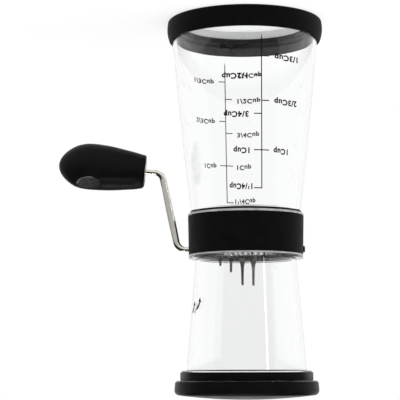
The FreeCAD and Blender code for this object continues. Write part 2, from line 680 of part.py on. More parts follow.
def make_rod():
    """A straight shaft, an arm that is pressed oval between two bends, and the straight knob pin."""
    body = new_body("crank_rod")
    path = new_sketch(body, "arm_path", "XZ_Plane")
    bend = value("rod_bend_radius")
    lean = math.radians(value("arm_lean"))
    tilt = math.radians(value("knob_tilt"))
    upper_centre = Vector(value("upper_bend_centre"), -bend, 0)
    arm_side = Vector(math.cos(lean), math.sin(lean), 0).multiply(bend)
    arm_top = Vector(value("arm_top_across"), value("arm_top_up"), 0)
    arm_foot = Vector(value("arm_foot_across"), value("arm_foot_up"), 0)
    lower_centre = arm_foot.add(arm_side)
    upward = Vector(0, 0, 1)
    upper = path.addGeometry(Part.ArcOfCircle(Part.Circle(upper_centre, upward, bend), lean, math.pi / 2))
    straight = path.addGeometry(Part.LineSegment(arm_top, arm_foot))
    lower = path.addGeometry(Part.ArcOfCircle(Part.Circle(lower_centre, upward, bend),
                                              math.pi + lean, 1.5 * math.pi - tilt))
    for first, first_end, last, last_end in ((upper, 1, straight, 1), (straight, 2, lower, 1)):
        path.addConstraint(Sketcher.Constraint("Tangent", first, first_end, last, last_end))
    size_arc(path, upper, "rod_bend_radius")
    size_arc(path, lower, "rod_bend_radius")
    place_point(path, upper, 2, "upper_bend_centre", "0")
    place_point(path, straight, 1, "arm_top_across", "arm_top_up")
    place_point(path, lower, 2, "pin_start_across", "pin_start_up")
    doc.recompute()
    shaft_section = new_sketch(body, "shaft_section", "YZ_Plane", "-rod_tail")
    circle(shaft_section, "rod_radius")
    pad(body, shaft_section, "shaft", "rod_tail + upper_bend_centre")
    stack_end = tine_place(int(value("tine_count")) - 1) + " + hub_width / 2"
    for name, low, high in (("upper_flat", "rod_flat", "rod_radius * 1.5"),
                            ("lower_flat", "-rod_radius * 1.5", "-rod_flat")):
        flat = new_sketch(body, name + "_outline", "XZ_Plane")
        outline(flat, [("-rod_tail - 1", low), (stack_end, low), (stack_end, high), ("-rod_tail - 1", high)])
        pocket(body, flat, name, "4 * rod_radius", midplane=True)
    round_half = ("rod_radius", "rod_radius")
    end_half = ("arm_end_width / 2", "arm_end_thickness / 2")
    middle_half = ("arm_width / 2", "arm_thickness / 2")
    middle_across = "(arm_top_across + arm_foot_across) / 2"
    middle_up = "(arm_top_up + arm_foot_up) / 2"
    sections = [
        rod_section(body, "upper_bend_start", "upper_bend_centre", "0", "90", *round_half),
        rod_section(body, "arm_top", "arm_top_across", "arm_top_up", "180 - arm_lean", *end_half),
        rod_section(body, "arm_middle", middle_across, middle_up, "180 - arm_lean", *middle_half),
        rod_section(body, "arm_foot", "arm_foot_across", "arm_foot_up", "180 - arm_lean", *end_half),
        rod_section(body, "pin_start", "pin_start_across", "pin_start_up", "90 + knob_tilt", *round_half),
    ]
    doc.recompute()
    arm = body.newObject("PartDesign::AdditivePipe", "arm")
    arm.Profile = sections[0]
    arm.Transformation = "Multisection"
    arm.Sections = sections[1:]
    arm.Spine = (path, ["Edge1", "Edge2", "Edge3"])
    doc.recompute()
    pad(body, sections[-1], "pin", "(knob_reach - pin_start_across) / cos(knob_tilt) + pin_in_knob")
    on_shaft(body)


def flatted_bore(body, name, length, lean):
    """A round bore with two flats that keys a piece to the rod, whichever way the piece leans."""
    half = "(rod_flat + hub_gap)"
    radius = "(rod_radius + hub_gap)"
    chord = "sqrt(pow(" + radius + "; 2) - pow(" + half + "; 2))"
    sketch = new_sketch(body, name + "_outline", "YZ_Plane")
    outline(sketch, [
        (chord, "-" + half),
        (chord, half),
        ("-" + chord, half),
        ("-" + chord, "-" + half),
    ], {0: (-1, radius), 2: (-1, radius)})
    sketch.setExpression("AttachmentOffset.Rotation.Angle", bound("-1deg * (" + lean + ")"))
    return pocket(body, sketch, name, length, midplane=True)


def make_tine(number, lean):
    """A hub with a thorn-shaped tine on either side of the rod."""
    body = new_body("tine_bar_%d" % (number + 1))
    reach = tine_length(number)
    flare = "(tine_neck_height - tine_root_height)"
    narrowing = "(tine_root_radius - tine_neck_radius)"
    flare_bow = "((pow(" + flare + "; 2) + pow(" + narrowing + "; 2)) / (2 * " + narrowing + ") * 1.02)"
    shoulder = reach + " - tine_tip_radius"
    turn(body, "tines", [
        ("0", "-(" + reach + ")"),
        ("tine_tip_radius", "-(" + shoulder + ")"),
        ("tine_neck_radius", "-tine_neck_height"),
        ("tine_root_radius", "-tine_root_height"),
        ("tine_root_radius", "tine_root_height"),
        ("tine_neck_radius", "tine_neck_height"),
        ("tine_tip_radius", shoulder),
        ("0", reach),
    ], {0: (-1, "tine_tip_radius"), 2: (1, flare_bow), 4: (1, flare_bow), 6: (-1, "tine_tip_radius")})
    hub = new_sketch(body, "hub_outline", "YZ_Plane")
    circle(hub, "hub_radius")
    pad(body, hub, "hub", "hub_width", midplane=True)
    flatted_bore(body, "hub_bore", "hub_width * 2", lean)
    body.Placement = Placement(Vector(0, 0, 0), Rotation(Vector(1, 0, 0), 1))
    on_shaft(body, tine_place(number))
    body.setExpression("Placement.Rotation.Angle", bound("1deg * (" + lean + ")"))


def make_tines():
    pairs = ("tail_pair", "middle_pair", "crank_pair")
    for number in range(int(value("tine_count"))):
        pair = pairs[min(number // 2, len(pairs) - 1)]
        sign = "-" if number % 2 == 0 else "+"
        make_tine(number, pair + "_angle " + sign + " " + pair + "_spread")


def make_spacers():
    body = new_body("tine_spacers")
    first = "first_tine + hub_width / 2 + stack_gap / 2"
    width = "tine_pitch - hub_width - stack_gap"
    sketch = new_sketch(body, "spacer_outline", "YZ_Plane", first)
    circle(sketch, "spacer_radius")
    circle(sketch, "bore_radius")
    ring = pad(body, sketch, "spacer", width)
    pattern = body.newObject("PartDesign::LinearPattern", "spacers")
    pattern.Originals = [ring]
    pattern.Direction = ([f for f in body.Origin.OriginFeatures if f.Role == "X_Axis"][0], [""])
    pattern.setExpression("Length", bound("(tine_count - 2) * tine_pitch"))
    pattern.setExpression("Occurrences", bound("tine_count - 1"))
    body.Tip = pattern
    doc.recompute()
    on_shaft(body)


def make_sleeve(label, foot, length):
    body = new_body(label)
    sketch = new_sketch(body, "sleeve_outline", "YZ_Plane", foot)
    circle(sketch, "sleeve_radius")
    circle(sketch, "bore_radius")
    pad(body, sketch, "sleeve", length)
    on_shaft(body)


def make_end_cap():
    body = new_body("rod_end_cap")
    mouth = "rod_tail + end_cap_floor - end_cap_length"
    turn(body, "cap_turned", [
        (mouth, "rod_radius + seat_gap"),
        (mouth, "end_cap_radius"),
        ("rod_tail + end_cap_floor", "end_cap_end_radius"),
        ("rod_tail + end_cap_floor", "0"),
        ("rod_tail", "0"),
        ("rod_tail", "rod_radius + seat_gap"),
    ], axis="H_Axis")
    body.Placement = Placement(Vector(0, 0, 0), Rotation(Vector(0, 0, 1), 180))
    on_shaft(body)


# Knob that spins on the pin, drawn along Z and laid over on the pin

def on_pin(body):
    body.Placement = Placement(Vector(0, 0, 0), Rotation(Vector(0, 1, 0), 90))
    body.setExpression("Placement.Rotation.Angle", bound("1deg * (90 + knob_tilt)"))
    body.setExpression("Placement.Base.x", bound("knob_reach"))
    body.setExpression("Placement.Base.z", bound("shaft_height - crank_throw"))


def make_knob_grip():
    body = new_body("knob_grip")
    sections = []
    lift = "0"
    for name, step, half_height, half_depth, rise in knob_sections:
        key = "knob_" + name
        if step:
            lift += " + " + key + "_step"
        sketch = new_sketch(body, name + "_section", "XY_Plane", lift)
        centre = Vector(-rise, 0, 0)
        top = centre.add(Vector(half_height, 0, 0))
        side = centre.add(Vector(0, half_depth, 0))
        ellipse = Part.Ellipse(top, side, centre)
        geometry = sketch.addGeometry(ellipse)
        sketch.exposeInternalGeometry(geometry)
        long_axis = geometry + 1
        short_axis = geometry + 2
        place_point(sketch, geometry, 3, "-" + key + "_rise", "0")
        sketch.addConstraint(Sketcher.Constraint("Horizontal", long_axis))
        for axis, text in ((long_axis, "2 * " + key + "_height"), (short_axis, "2 * " + key + "_depth")):
            index = sketch.addConstraint(Sketcher.Constraint("Distance", axis, value(text)))
            sketch.setExpression("Constraints[%d]" % index, bound(text))
        sections.append(sketch)
    doc.recompute()
    loft = body.newObject("PartDesign::AdditiveLoft", "grip_loft")
    loft.Profile = sections[0]
    loft.Sections = sections[1:]
    loft.Ruled = False
    doc.recompute()
    cavity = new_sketch(body, "core_cavity_outline", "XY_Plane")
    circle(cavity, "core_radius + seat_gap")
    pocket(body, cavity, "core_cavity", "core_length + clip_gap", reverse=True)
    on_pin(body)


def make_knob_core():
    body = new_body("knob_core")
    turn(body, "core_turned", [
        ("bore_radius", "0"),
        ("core_radius", "0"),
        ("core_radius", "core_length"),
        ("clip_room_radius", "core_length"),
        ("clip_room_radius", "clip_seat"),
        ("bore_radius", "clip_seat"),
    ])
    on_pin(body)


def make_pin_clip():
    body = new_body("pin_clip")
    foot = "clip_seat + clip_gap"
    turn(body, "clip_turned", [
        ("rod_radius + seat_gap", foot),
        ("clip_radius", foot),
        ("clip_radius", foot + " + clip_thickness"),
        ("rod_radius + seat_gap", foot + " + clip_thickness"),
    ])
    on_pin(body)


# Lid

def make_lid():
    body = new_body("lid")
    rim_inner = "plug_radius - plug_wall"
    dome_bow = "((pow(lid_rim_radius; 2) + pow(lid_crown; 2)) / (2 * lid_crown))"
    plug_foot = "lip_top - plug_depth"
    ceiling = "rim_top - lid_wall"
    turn(body, "lid_turned", [
        ("0", "rim_top + lid_crown"),
        ("0", ceiling + " + lid_crown / 2"),
        (rim_inner, ceiling),
        (rim_inner, plug_foot),
        ("plug_radius - plug_taper", plug_foot),
        ("plug_radius", "lip_top"),
        ("lid_rim_radius - lid_under_round", "lip_top"),
        ("lid_rim_radius", "rim_top"),
    ], {7: (-1, dome_bow)})
    round_edges(body, "rim_rounding", "lid_rim_round", [("lid_rim_radius", "rim_top")])
    round_edges(body, "under_rounding", "lid_under_round", [("lid_rim_radius - lid_under_round", "lip_top")])


make_jar()
make_foot_ring()
make_gasket()
make_hopper()
make_band()
make_mouth_band()
make_bush("crank_bush", 1)
make_bush("tail_bush", -1)
make_tooth_plate()
make_plate_screws()
make_rod()
make_tines()
make_spacers()
last_hub = tine_place(int(value("tine_count")) - 1) + " + hub_width / 2"
first_hub = "first_tine - hub_width / 2"
make_sleeve("tail_sleeve", "-bush_inset + stack_gap", first_hub + " + bush_inset - 2 * stack_gap")
make_sleeve("crank_sleeve", last_hub + " + stack_gap", "bush_inset - (" + last_hub + ") - 2 * stack_gap")
make_end_cap()
make_knob_grip()
make_knob_core()
make_pin_clip()
make_lid()
doc.recompute()


def check_and_write():
    for item in doc.Objects:
        if "Invalid" in item.State or "Error" in item.State:
            raise RuntimeError(item.Label + " failed: " + ", ".join(item.State))
    for body in parts:
        if body.Shape.isNull() or not body.Shape.isValid():
            raise RuntimeError(body.Label + " has no valid shape")
    os.makedirs("parts", exist_ok=True)
    for body in parts:
        body.Shape.exportStep("parts/" + body.Label + ".step")
        print(body.Label, len(body.Shape.Solids), "solid(s)", round(body.Shape.Volume, 1), "mm3")


check_and_write()
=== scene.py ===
import math
from functools import partial

import bmesh
import bpy
from mathutils import Matrix, Vector, noise


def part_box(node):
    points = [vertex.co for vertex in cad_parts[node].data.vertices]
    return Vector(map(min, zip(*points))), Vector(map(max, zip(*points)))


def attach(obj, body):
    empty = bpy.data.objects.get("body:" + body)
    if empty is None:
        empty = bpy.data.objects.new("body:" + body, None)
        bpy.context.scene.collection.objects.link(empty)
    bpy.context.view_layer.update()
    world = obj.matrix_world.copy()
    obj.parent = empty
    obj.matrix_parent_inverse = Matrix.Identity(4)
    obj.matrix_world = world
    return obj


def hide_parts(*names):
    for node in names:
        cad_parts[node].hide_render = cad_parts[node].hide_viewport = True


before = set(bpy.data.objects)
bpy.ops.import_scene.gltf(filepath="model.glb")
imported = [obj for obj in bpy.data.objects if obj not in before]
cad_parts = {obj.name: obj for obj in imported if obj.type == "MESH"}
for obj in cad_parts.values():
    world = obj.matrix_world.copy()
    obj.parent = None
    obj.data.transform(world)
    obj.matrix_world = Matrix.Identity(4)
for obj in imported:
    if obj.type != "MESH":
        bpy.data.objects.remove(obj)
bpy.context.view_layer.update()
scene = bpy.context.scene
mm = 0.001
print("frame loaded")


# Small helpers for node trees

def plug(node, inputs):
    for key, value in inputs.items():
        socket = node.inputs[key]
        if isinstance(value, bpy.types.NodeSocket):
            node.id_data.links.new(value, socket)
        else:
            socket.default_value = (*value, 1.0) if socket.type == "RGBA" else value


def addNode(tree, kind, inputs=None, **settings):
    made = tree.nodes.new(kind)
    for key, value in settings.items():
        setattr(made, key, value)
    plug(made, inputs or {})
    return made


def fed(kind, inputs, **settings):  # in the same tree as its inputs, and gives the first output
    tree = next(value.id_data for value in inputs.values() if isinstance(value, bpy.types.NodeSocket))
    return addNode(tree, kind, inputs, **settings).outputs[0]


def maths(operation, *values, clamp=False):
    return fed("ShaderNodeMath", dict(enumerate(values)), operation=operation, use_clamp=clamp)


times, plus, minus, over, timesPlus, power, largest, smallest, sine, cosine = (
    partial(maths, operation) for operation in ("MULTIPLY", "ADD", "SUBTRACT", "DIVIDE", "MULTIPLY_ADD", "POWER",
                                                "MAXIMUM", "MINIMUM", "SINE", "COSINE"))


def smoothBetween(value, low, high):
    return fed("ShaderNodeMapRange", {0: value, 1: low, 2: high}, interpolation_type="SMOOTHSTEP")


def spread(value, low=0.0, high=1.0, fromLow=0.3, fromHigh=0.7):
    return fed("ShaderNodeMapRange", {0: value, 1: fromLow, 2: fromHigh, 3: low, 4: high})


def mixed(value, first, last, kind="RGBA"):
    inputs = {"Factor": value, "A": first, "B": last}
    return addNode(value.id_data, "ShaderNodeMix", inputs, data_type=kind).outputs["Result"]


def combined(x, y, z):
    return fed("ShaderNodeCombineXYZ", {0: x, 1: y, 2: z})


def separated(vector):
    return addNode(vector.id_data, "ShaderNodeSeparateXYZ", {0: vector}).outputs


def distance(x, y):
    return maths("SQRT", plus(power(x, 2.0), power(y, 2.0)))


# Materials

def grey(level):
    return (level, level, level)


def newMaterial(name, diffuse):
    material = bpy.data.materials.new(name)
    material.use_nodes = True
    material.diffuse_color = (*diffuse, 1.0)
    tree = material.node_tree
    tree.nodes.clear()
    shader = addNode(tree, "ShaderNodeBsdfPrincipled", {"Base Color": diffuse})
    addNode(tree, "ShaderNodeOutputMaterial", {"Surface": shader.outputs[0]})
    return material, shader, addNode(tree, "ShaderNodeTexCoord").outputs["Object"]


def grain(place, scale, detail=2.0, roughness=0.5, stretch=None):
    if stretch:
        place = fed("ShaderNodeMapping", {"Vector": place, "Scale": stretch})
    return fed("ShaderNodeTexNoise", {"Vector": place, "Scale": scale, "Detail": detail, "Roughness": roughness})


def bumpUp(shader, height, strength, depth):
    plug(shader, {"Normal": fed("ShaderNodeBump", {"Strength": strength, "Distance": depth, "Height": height})})


def clearPlastic(name, ior, mirrored, haze):
    look = {"tint": (0.988, 0.993, 0.991), "shadow": (0.93, 0.94, 0.94), "absorb": (0.80, 0.84, 0.85),
            "density": 5.0, "flowScale": 30.0, "scuffScale": 260.0, "waves": 0.03}
    material, shader, place = newMaterial(name, look["tint"])
    flow = grain(place, look["flowScale"])
    scuff = grain(place, look["scuffScale"], 4.0, 0.7)
    dull = times(spread(flow, 0.4, 1.0), spread(scuff, haze * 0.3, haze, 0.45, 0.75))
    plug(shader, {"Transmission Weight": 1.0, "IOR": ior, "Specular Tint": grey(mirrored), "Roughness": dull})
    bumpUp(shader, flow, look["waves"], 0.0003)
    tree = place.id_data
    clear = addNode(tree, "ShaderNodeBsdfTransparent", {"Color": look["shadow"]}).outputs[0]
    shadowRay = addNode(tree, "ShaderNodeLightPath").outputs["Is Shadow Ray"]
    volume = addNode(tree, "ShaderNodeVolumeAbsorption", {"Color": look["absorb"], "Density": look["density"]})
    plug(tree.nodes["Material Output"], {
        "Surface": fed("ShaderNodeMixShader", {0: shadowRay, 1: shader.outputs[0], 2: clear}),
        "Volume": volume.outputs[0]})
    return material


def mouldedBlack(name, shades, rough, grainScale, bump, gloss, ends=None):
    material, shader, place = newMaterial(name, shades[0])
    cloud = grain(place, grainScale * 0.12, 4.0)
    fine = grain(place, grainScale, 3.0, 0.6)
    colour = mixed(spread(cloud), *shades)
    if ends:  # painted sheen: the part turned away from the eye is painted paler, standing in for a reflection
        paintedSheenMask = addNode(place.id_data, "ShaderNodeLayerWeight", {"Blend": 0.5}).outputs["Facing"]
        colour = mixed(smoothBetween(paintedSheenMask, 0.42, 0.8), colour, ends)
    plug(shader, {"Base Color": colour, "Roughness": spread(timesPlus(cloud, 0.6, times(fine, 0.4)), *rough),
                  "Specular IOR Level": gloss, "Specular Tint": grey(0.5)})
    bumpUp(shader, fine, bump, 0.0001)
    return material


def softGrip():
    material, shader, place = newMaterial("softGrip", grey(0.011))
    cloud, fine = grain(place, 120.0, 4.0), grain(place, 1600.0)
    paintedLight, rim = (addNode(place.id_data, "ShaderNodeAttribute", attribute_name=name).outputs["Fac"]
                  for name in ("thumbPaintedLight", "thumbRim"))
    # painted light: the thumb scoop's bowl is painted paler where it faces up, mottled by the grain
    mottle = times(paintedLight, spread(grain(place, 900.0, 3.0), 0.2, 1.0), clamp=True)
    plain = mixed(spread(cloud), grey(0.0036), (0.0056, 0.0054, 0.0052))
    plug(shader, {"Base Color": mixed(mottle, plain, (0.036, 0.0355, 0.034)), "Roughness": spread(cloud, 0.36, 0.5),
                  "Specular IOR Level": 0.08, "Coat Weight": rim, "Coat Roughness": 0.14, "Sheen Weight": 0.01,
                  "Sheen Roughness": 0.45})
    bumpUp(shader, timesPlus(mottle, 0.8, fine), 0.25, 0.00012)
    return material


def metal(name, shades, rough, scale, stretch=None, bump=0.08, edge=1.0):
    material, shader, place = newMaterial(name, shades[0])
    drawn, cloud = grain(place, scale, 4.0, 0.65, stretch), grain(place, 140.0, 3.0)
    plug(shader, {"Metallic": 1.0, "Specular Tint": grey(edge), "Base Color": mixed(spread(cloud), *shades),
                  "Roughness": spread(timesPlus(drawn, 0.5, times(cloud, 0.5)), *rough)})
    bumpUp(shader, drawn, bump, 0.0001)
    return material


def drawnWire():
    material, shader, place = newMaterial("drawnWire", (0.80, 0.77, 0.71))
    along = addNode(place.id_data, "ShaderNodeUVMap", uv_map="wireWrap").outputs[0]
    streak = grain(along, 90.0, 4.0, 0.7, (0.05, 1.0, 1.0))
    wearAndPaintedLight = timesPlus(streak, 0.7, times(grain(place, 260.0, 3.0), 0.3))
    plug(shader, {"Metallic": 1.0, "Roughness": spread(streak, 0.08, 0.18),
                  "Base Color": mixed(spread(wearAndPaintedLight), (0.90, 0.87, 0.80), (0.62, 0.60, 0.54))})
    bumpUp(shader, streak, 0.12, 0.0001)
    return material


def clouded(shader, place, scale, shades, rough):
    cloud = grain(place, scale, 3.0)
    plug(shader, {"Base Color": mixed(spread(cloud), *shades), "Roughness": spread(cloud, *rough)})
    return cloud


def softPale(name, shades, rough, subsurface):
    material, shader, place = newMaterial(name, shades[0])
    clouded(shader, place, 220.0, shades, rough)
    plug(shader, {"Subsurface Weight": subsurface, "Subsurface Radius": (0.001, 0.001, 0.001)})
    bumpUp(shader, grain(place, 1500.0), 0.1, 0.00008)
    return material


def printedInk(name, shades):
    material, shader, place = newMaterial(name, shades[0])
    cloud = clouded(shader, place, 1400.0, shades, (0.45, 0.65))
    plug(shader, {"Specular IOR Level": 0.15})
    bumpUp(shader, cloud, 0.1, 0.00003)
    return material


# name, index of refraction, how much it mirrors, haze
jarClear = clearPlastic("jarClear", 1.49, 0.5, 0.02)
hopperClear = clearPlastic("hopperClear", 1.55, 1.0, 0.03)
# name, shades, roughness, scale of the grain, bump, gloss
matte = ((0.0042, 0.0042, 0.0042), (0.0062, 0.006, 0.0058)), (0.48, 0.6), 1500.0, 0.3, 0.05
bandMatte = mouldedBlack("bandMatte", *matte)
# the paler ends given here are painted sheen, standing in for the reflection at the band's ends
mouthMatte = mouldedBlack("mouthMatte", *matte, ends=(0.11, 0.11, 0.108))
lidSatin = mouldedBlack("lidSatin", (grey(0.0045), (0.0065, 0.0065, 0.0062)), (0.3, 0.42), 1100.0, 0.12, 0.05)
footRubber = mouldedBlack("footRubber", (grey(0.0045), (0.0072, 0.007, 0.0068)), (0.5, 0.66), 900.0, 0.3, 0.06)
gasketGrey = mouldedBlack("gasketGrey", (grey(0.007), grey(0.013)), (0.4, 0.55), 900.0, 0.1, 0.1)
gripSoft = softGrip()
# name, shades, roughness, subsurface
# the pale edge finish below is painted light, for the light caught in the clear flange edges
paintedEdgeLight = softPale("paintedEdgeLight", ((0.36, 0.365, 0.37), (0.58, 0.585, 0.59)), (0.3, 0.45), 0.3)
nylon = softPale("nylon", ((0.70, 0.70, 0.67), (0.78, 0.78, 0.75)), (0.35, 0.5), 0.15)
wireSteel = drawnWire()
# name, shades, roughness, scale of the grain, its stretch
castSteel = metal("castSteel", ((0.24, 0.233, 0.215), (0.03, 0.029, 0.027)), (0.06, 0.14), 900.0, bump=0.2, edge=0.0)
stampedSteel = metal("stampedSteel", ((0.66, 0.655, 0.64), (0.56, 0.555, 0.545)), (0.18, 0.34), 700.0, (0.08, 1, 1))
turnedSteel = metal("turnedSteel", ((0.70, 0.69, 0.67), (0.60, 0.595, 0.58)), (0.15, 0.28), 900.0, (1, 0.1, 0.1))
inkBlack = printedInk("inkBlack", (grey(0.0028), grey(0.0045)))
inkGrey = printedInk("inkGrey", (grey(0.055), grey(0.075)))
print("materials made")


# Geometry node trees

def newTree(name, sizes):
    tree = bpy.data.node_groups.new(name, "GeometryNodeTree")
    tree.is_modifier = True
    kinds = {int: "Int", float: "Float", tuple: "Vector"}
    sockets = [("Geometry", "Geometry"), *((label, kinds[type(size)]) for label, size in sizes.items()),
               ("Material", "Material")]
    for label, kind in sockets:
        socket = tree.interface.new_socket(label, in_out="INPUT", socket_type="NodeSocket" + kind)
        if label in sizes:
            socket.default_value = sizes[label]
    tree.interface.new_socket("Geometry", in_out="OUTPUT", socket_type="NodeSocketGeometry")
    return tree.nodes.new("NodeGroupInput").outputs


def endTree(geometry, material):
    real = fed("GeometryNodeRealizeInstances", {0: geometry})
    painted = fed("GeometryNodeSetMaterial", {"Geometry": real, "Material": material})
    return addNode(painted.id_data, "NodeGroupOutput", {0: painted}).id_data


def reads(geometry, what):  # Position or Index
    return addNode(geometry.id_data, "GeometryNodeInput" + what).outputs[0]


def namedValue(geometry, name):
    return addNode(geometry.id_data, "GeometryNodeInputNamedAttribute", {"Name": name}, data_type="FLOAT").outputs[0]


def sampled(geometry, value, index, kind="FLOAT"):
    return fed("GeometryNodeSampleIndex", {"Geometry": geometry, "Value": value, "Index": index}, data_type=kind,
               domain="POINT")


def moved(geometry, spot):
    return fed("GeometryNodeSetPosition", {"Geometry": geometry, "Position": spot})


def welded(geometry):
    return fed("GeometryNodeMergeByDistance", {"Geometry": geometry, "Distance": 1e-6})


def gridRows(geometry, columns):
    pointCount = fed("GeometryNodeAttributeDomainSize", {0: geometry}, component="MESH")
    wide = plus(columns, 1.0)
    sheet = fed("GeometryNodeMeshGrid", {"Vertices X": pointCount, "Vertices Y": wide})
    index = reads(geometry, "Index")
    row = maths("FLOOR", over(index, wide))
    column = minus(index, times(row, wide))
    return sheet, row, times(over(column, columns), math.tau)


def turnedTree():
    get = newTree("turnedShape", {
        "Columns": 96, "Thread Depth": 0.0, "Thread Lead": 0.012, "Thread Starts": 3.0, "Thread Middle": 0.0,
        "Thread Arc": 1.0, "Thread Root": 0.0018, "Thread Crest": 0.001})
    outline, starts = get["Geometry"], get["Thread Starts"]
    sheet, row, turn = gridRows(outline, get["Columns"])
    plain, _, height = separated(sampled(outline, reads(outline, "Position"), row, "FLOAT_VECTOR"))
    threaded = sampled(outline, namedValue(outline, "threaded"), row)
    # which ridge passes this point, and how far off its middle line the point lies
    spacing = over(get["Thread Lead"], starts)
    phase = maths("FRACT", times(maths("FRACT", over(turn, math.tau)), starts))
    level = minus(over(minus(height, get["Thread Middle"]), spacing), phase)
    ridge = maths("ROUND", level)
    off = times(maths("ABSOLUTE", minus(level, ridge)), spacing)
    flank = smoothBetween(off, times(get["Thread Root"], 0.5), times(get["Thread Crest"], 0.5))
    ran = over(plus(ridge, phase), starts)
    begins = smoothBetween(ran, 0.0, 0.02)
    ends = smoothBetween(minus(get["Thread Arc"], ran), 0.0, 0.02)
    radius = plus(plain, times(times(flank, times(begins, ends)), times(threaded, get["Thread Depth"])))
    spot = combined(times(radius, cosine(turn)), times(radius, sine(turn)), height)
    return endTree(welded(moved(sheet, spot)), get["Material"])


def sweptTree():
    get = newTree("sweptRod", {"Columns": 32})
    path = get["Geometry"]
    sheet, row, turn = gridRows(path, get["Columns"])
    centre = sampled(path, reads(path, "Position"), row, "FLOAT_VECTOR")
    side, halfWidth, halfDepth, flat, run = (sampled(path, namedValue(path, name), row)
                                             for name in ("sideTurn", "halfWidth", "halfDepth", "flatAt", "run"))
    across = largest(smallest(times(sine(turn), halfWidth), flat), times(flat, -1.0))
    offset = combined(times(across, sine(side)), times(cosine(turn), halfDepth), times(across, cosine(side)))
    shaped = moved(sheet, fed("ShaderNodeVectorMath", {0: centre, 1: offset}, operation="ADD"))
    wrap = combined(run, over(turn, math.tau), 0.0)
    mapped = fed("GeometryNodeStoreNamedAttribute", {"Geometry": shaped, "Name": "wireWrap", "Value": wrap},
                 data_type="FLOAT2", domain="CORNER")
    return endTree(welded(mapped), get["Material"])


def ringTree():
    get = newTree("ringOfPieces", {"Count": 4, "Radius": 0.025, "First": 0.0, "Spin": 2.3})
    turn = timesPlus(over(reads(get["Geometry"], "Index"), get["Count"]), math.tau, get["First"])
    spot = combined(times(get["Radius"], cosine(turn)), times(get["Radius"], sine(turn)), 0.0)
    placed = fed("GeometryNodeInstanceOnPoints", {
        "Points": moved(fed("GeometryNodePoints", {"Count": get["Count"]}), spot), "Instance": get["Geometry"],
        "Rotation": combined(0.0, 0.0, times(turn, get["Spin"]))})
    return endTree(placed, get["Material"])


def rowTree():
    get = newTree("rowOfPieces", {"Count": 5, "Pitch": (0.00585, 0.0, 0.0)})
    line = fed("GeometryNodeMeshLine", {"Count": get["Count"], "Offset": get["Pitch"]})
    placed = fed("GeometryNodeInstanceOnPoints", {"Points": line, "Instance": get["Geometry"]})
    return endTree(placed, get["Material"])


def tickTree():
    get = newTree("ticksAtPoints", {"Thickness": 0.00035, "Depth": 0.00004})
    spots = get["Geometry"]
    bar = addNode(spots.id_data, "GeometryNodeMeshCube", {"Size": (1.0, 1.0, 1.0), "Vertices X": 6}).outputs[0]
    size = combined(namedValue(spots, "length"), get["Depth"], get["Thickness"])
    placed = fed("GeometryNodeInstanceOnPoints", {"Points": spots, "Instance": bar, "Scale": size})
    return endTree(placed, get["Material"])


def wrapTree():
    get = newTree("wrapOnCone", {
        "Facing": 0.0, "Low Height": 0.0, "High Height": 0.1, "Low Radius": 0.04, "High Radius": 0.03, "Bulge": 0.0,
        "Lift": 0.00002})
    across, depth, height = separated(reads(get["Geometry"], "Position"))
    up = over(minus(height, get["Low Height"]), minus(get["High Height"], get["Low Height"]))
    bow = times(times(get["Bulge"], 4.0), times(up, minus(1.0, up)))
    radius = plus(bow, timesPlus(up, minus(get["High Radius"], get["Low Radius"]), get["Low Radius"]))
    turn = plus(get["Facing"], over(across, radius))
    outwards = plus(plus(radius, get["Lift"]), depth)
    spot = combined(times(outwards, sine(turn)), times(outwards, times(cosine(turn), -1.0)), height)
    return endTree(moved(get["Geometry"], spot), get["Material"])


trees = {"turned": turnedTree(), "swept": sweptTree(), "ring": ringTree(), "row": rowTree(),
         "ticks": tickTree(), "wrap": wrapTree()}


# Mesh helpers

def linked(name, data):
    made = bpy.data.objects.new(name, data)
    scene.collection.objects.link(made)
    return made


def frozen(holder):  # the finished mesh of a helper object, which then goes
    mesh = bpy.data.meshes.new_from_object(holder.evaluated_get(bpy.context.evaluated_depsgraph_get()))
    bpy.data.objects.remove(holder)
    return mesh


def opened(mesh, weld=0.0):
    work = bmesh.new()
    work.from_mesh(mesh)
    if weld:
        bmesh.ops.remove_doubles(work, verts=work.verts, dist=weld)
    return work


def settled(work, mesh):  # a name makes a new mesh
    mesh = bpy.data.meshes.new(mesh) if isinstance(mesh, str) else mesh
    work.to_mesh(mesh)
    work.free()
    return mesh


def grow(name, treeName, source, values):
    seed = linked(name + "Seed", source)
    modifier = seed.modifiers.new("shape", "NODES")
    modifier.node_group = trees[treeName]
    for item in trees[treeName].interface.items_tree:
        if item.in_out == "INPUT" and item.name in values:
            modifier[item.identifier] = values[item.name]
    grown = frozen(seed)
    bpy.data.meshes.remove(source)
    grown.name = name
    while grown.materials and not grown.materials[0]:  # the empty slot of the seed
        grown.materials.pop(index=0)
    return grown


def asPiece(name, mesh, body, node=None, sharp=None, smooth=True):
    piece = linked(name, mesh)
    for face in mesh.polygons:
        face.use_smooth = smooth
    if sharp:
        mesh.set_sharp_from_angle(angle=math.radians(sharp))
    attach(piece, body)
    if node:
        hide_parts(node)
    return piece


def facingOut(mesh):
    work = opened(mesh, 1e-7)
    bmesh.ops.dissolve_degenerate(work, edges=work.edges, dist=1e-8)
    bmesh.ops.recalc_face_normals(work, faces=work.faces)
    if work.calc_volume(signed=True) < 0:
        bmesh.ops.reverse_faces(work, faces=work.faces)
    return settled(work, mesh)


def polyline(name, points, values):
    mesh = bpy.data.meshes.new(name)
    mesh.from_pydata([tuple(p) for p in points], [(i, i + 1) for i in range(len(points) - 1)], [])
    for key, column in values.items():
        mesh.attributes.new(key, "FLOAT", "POINT").data.foreach_set("value", column)
    return mesh


def profile(sizes, *rows):  # corners as radius, height and rounding, where a name stands for that size
    return [tuple(sizes.get(value, value) for value in row) for row in rows]


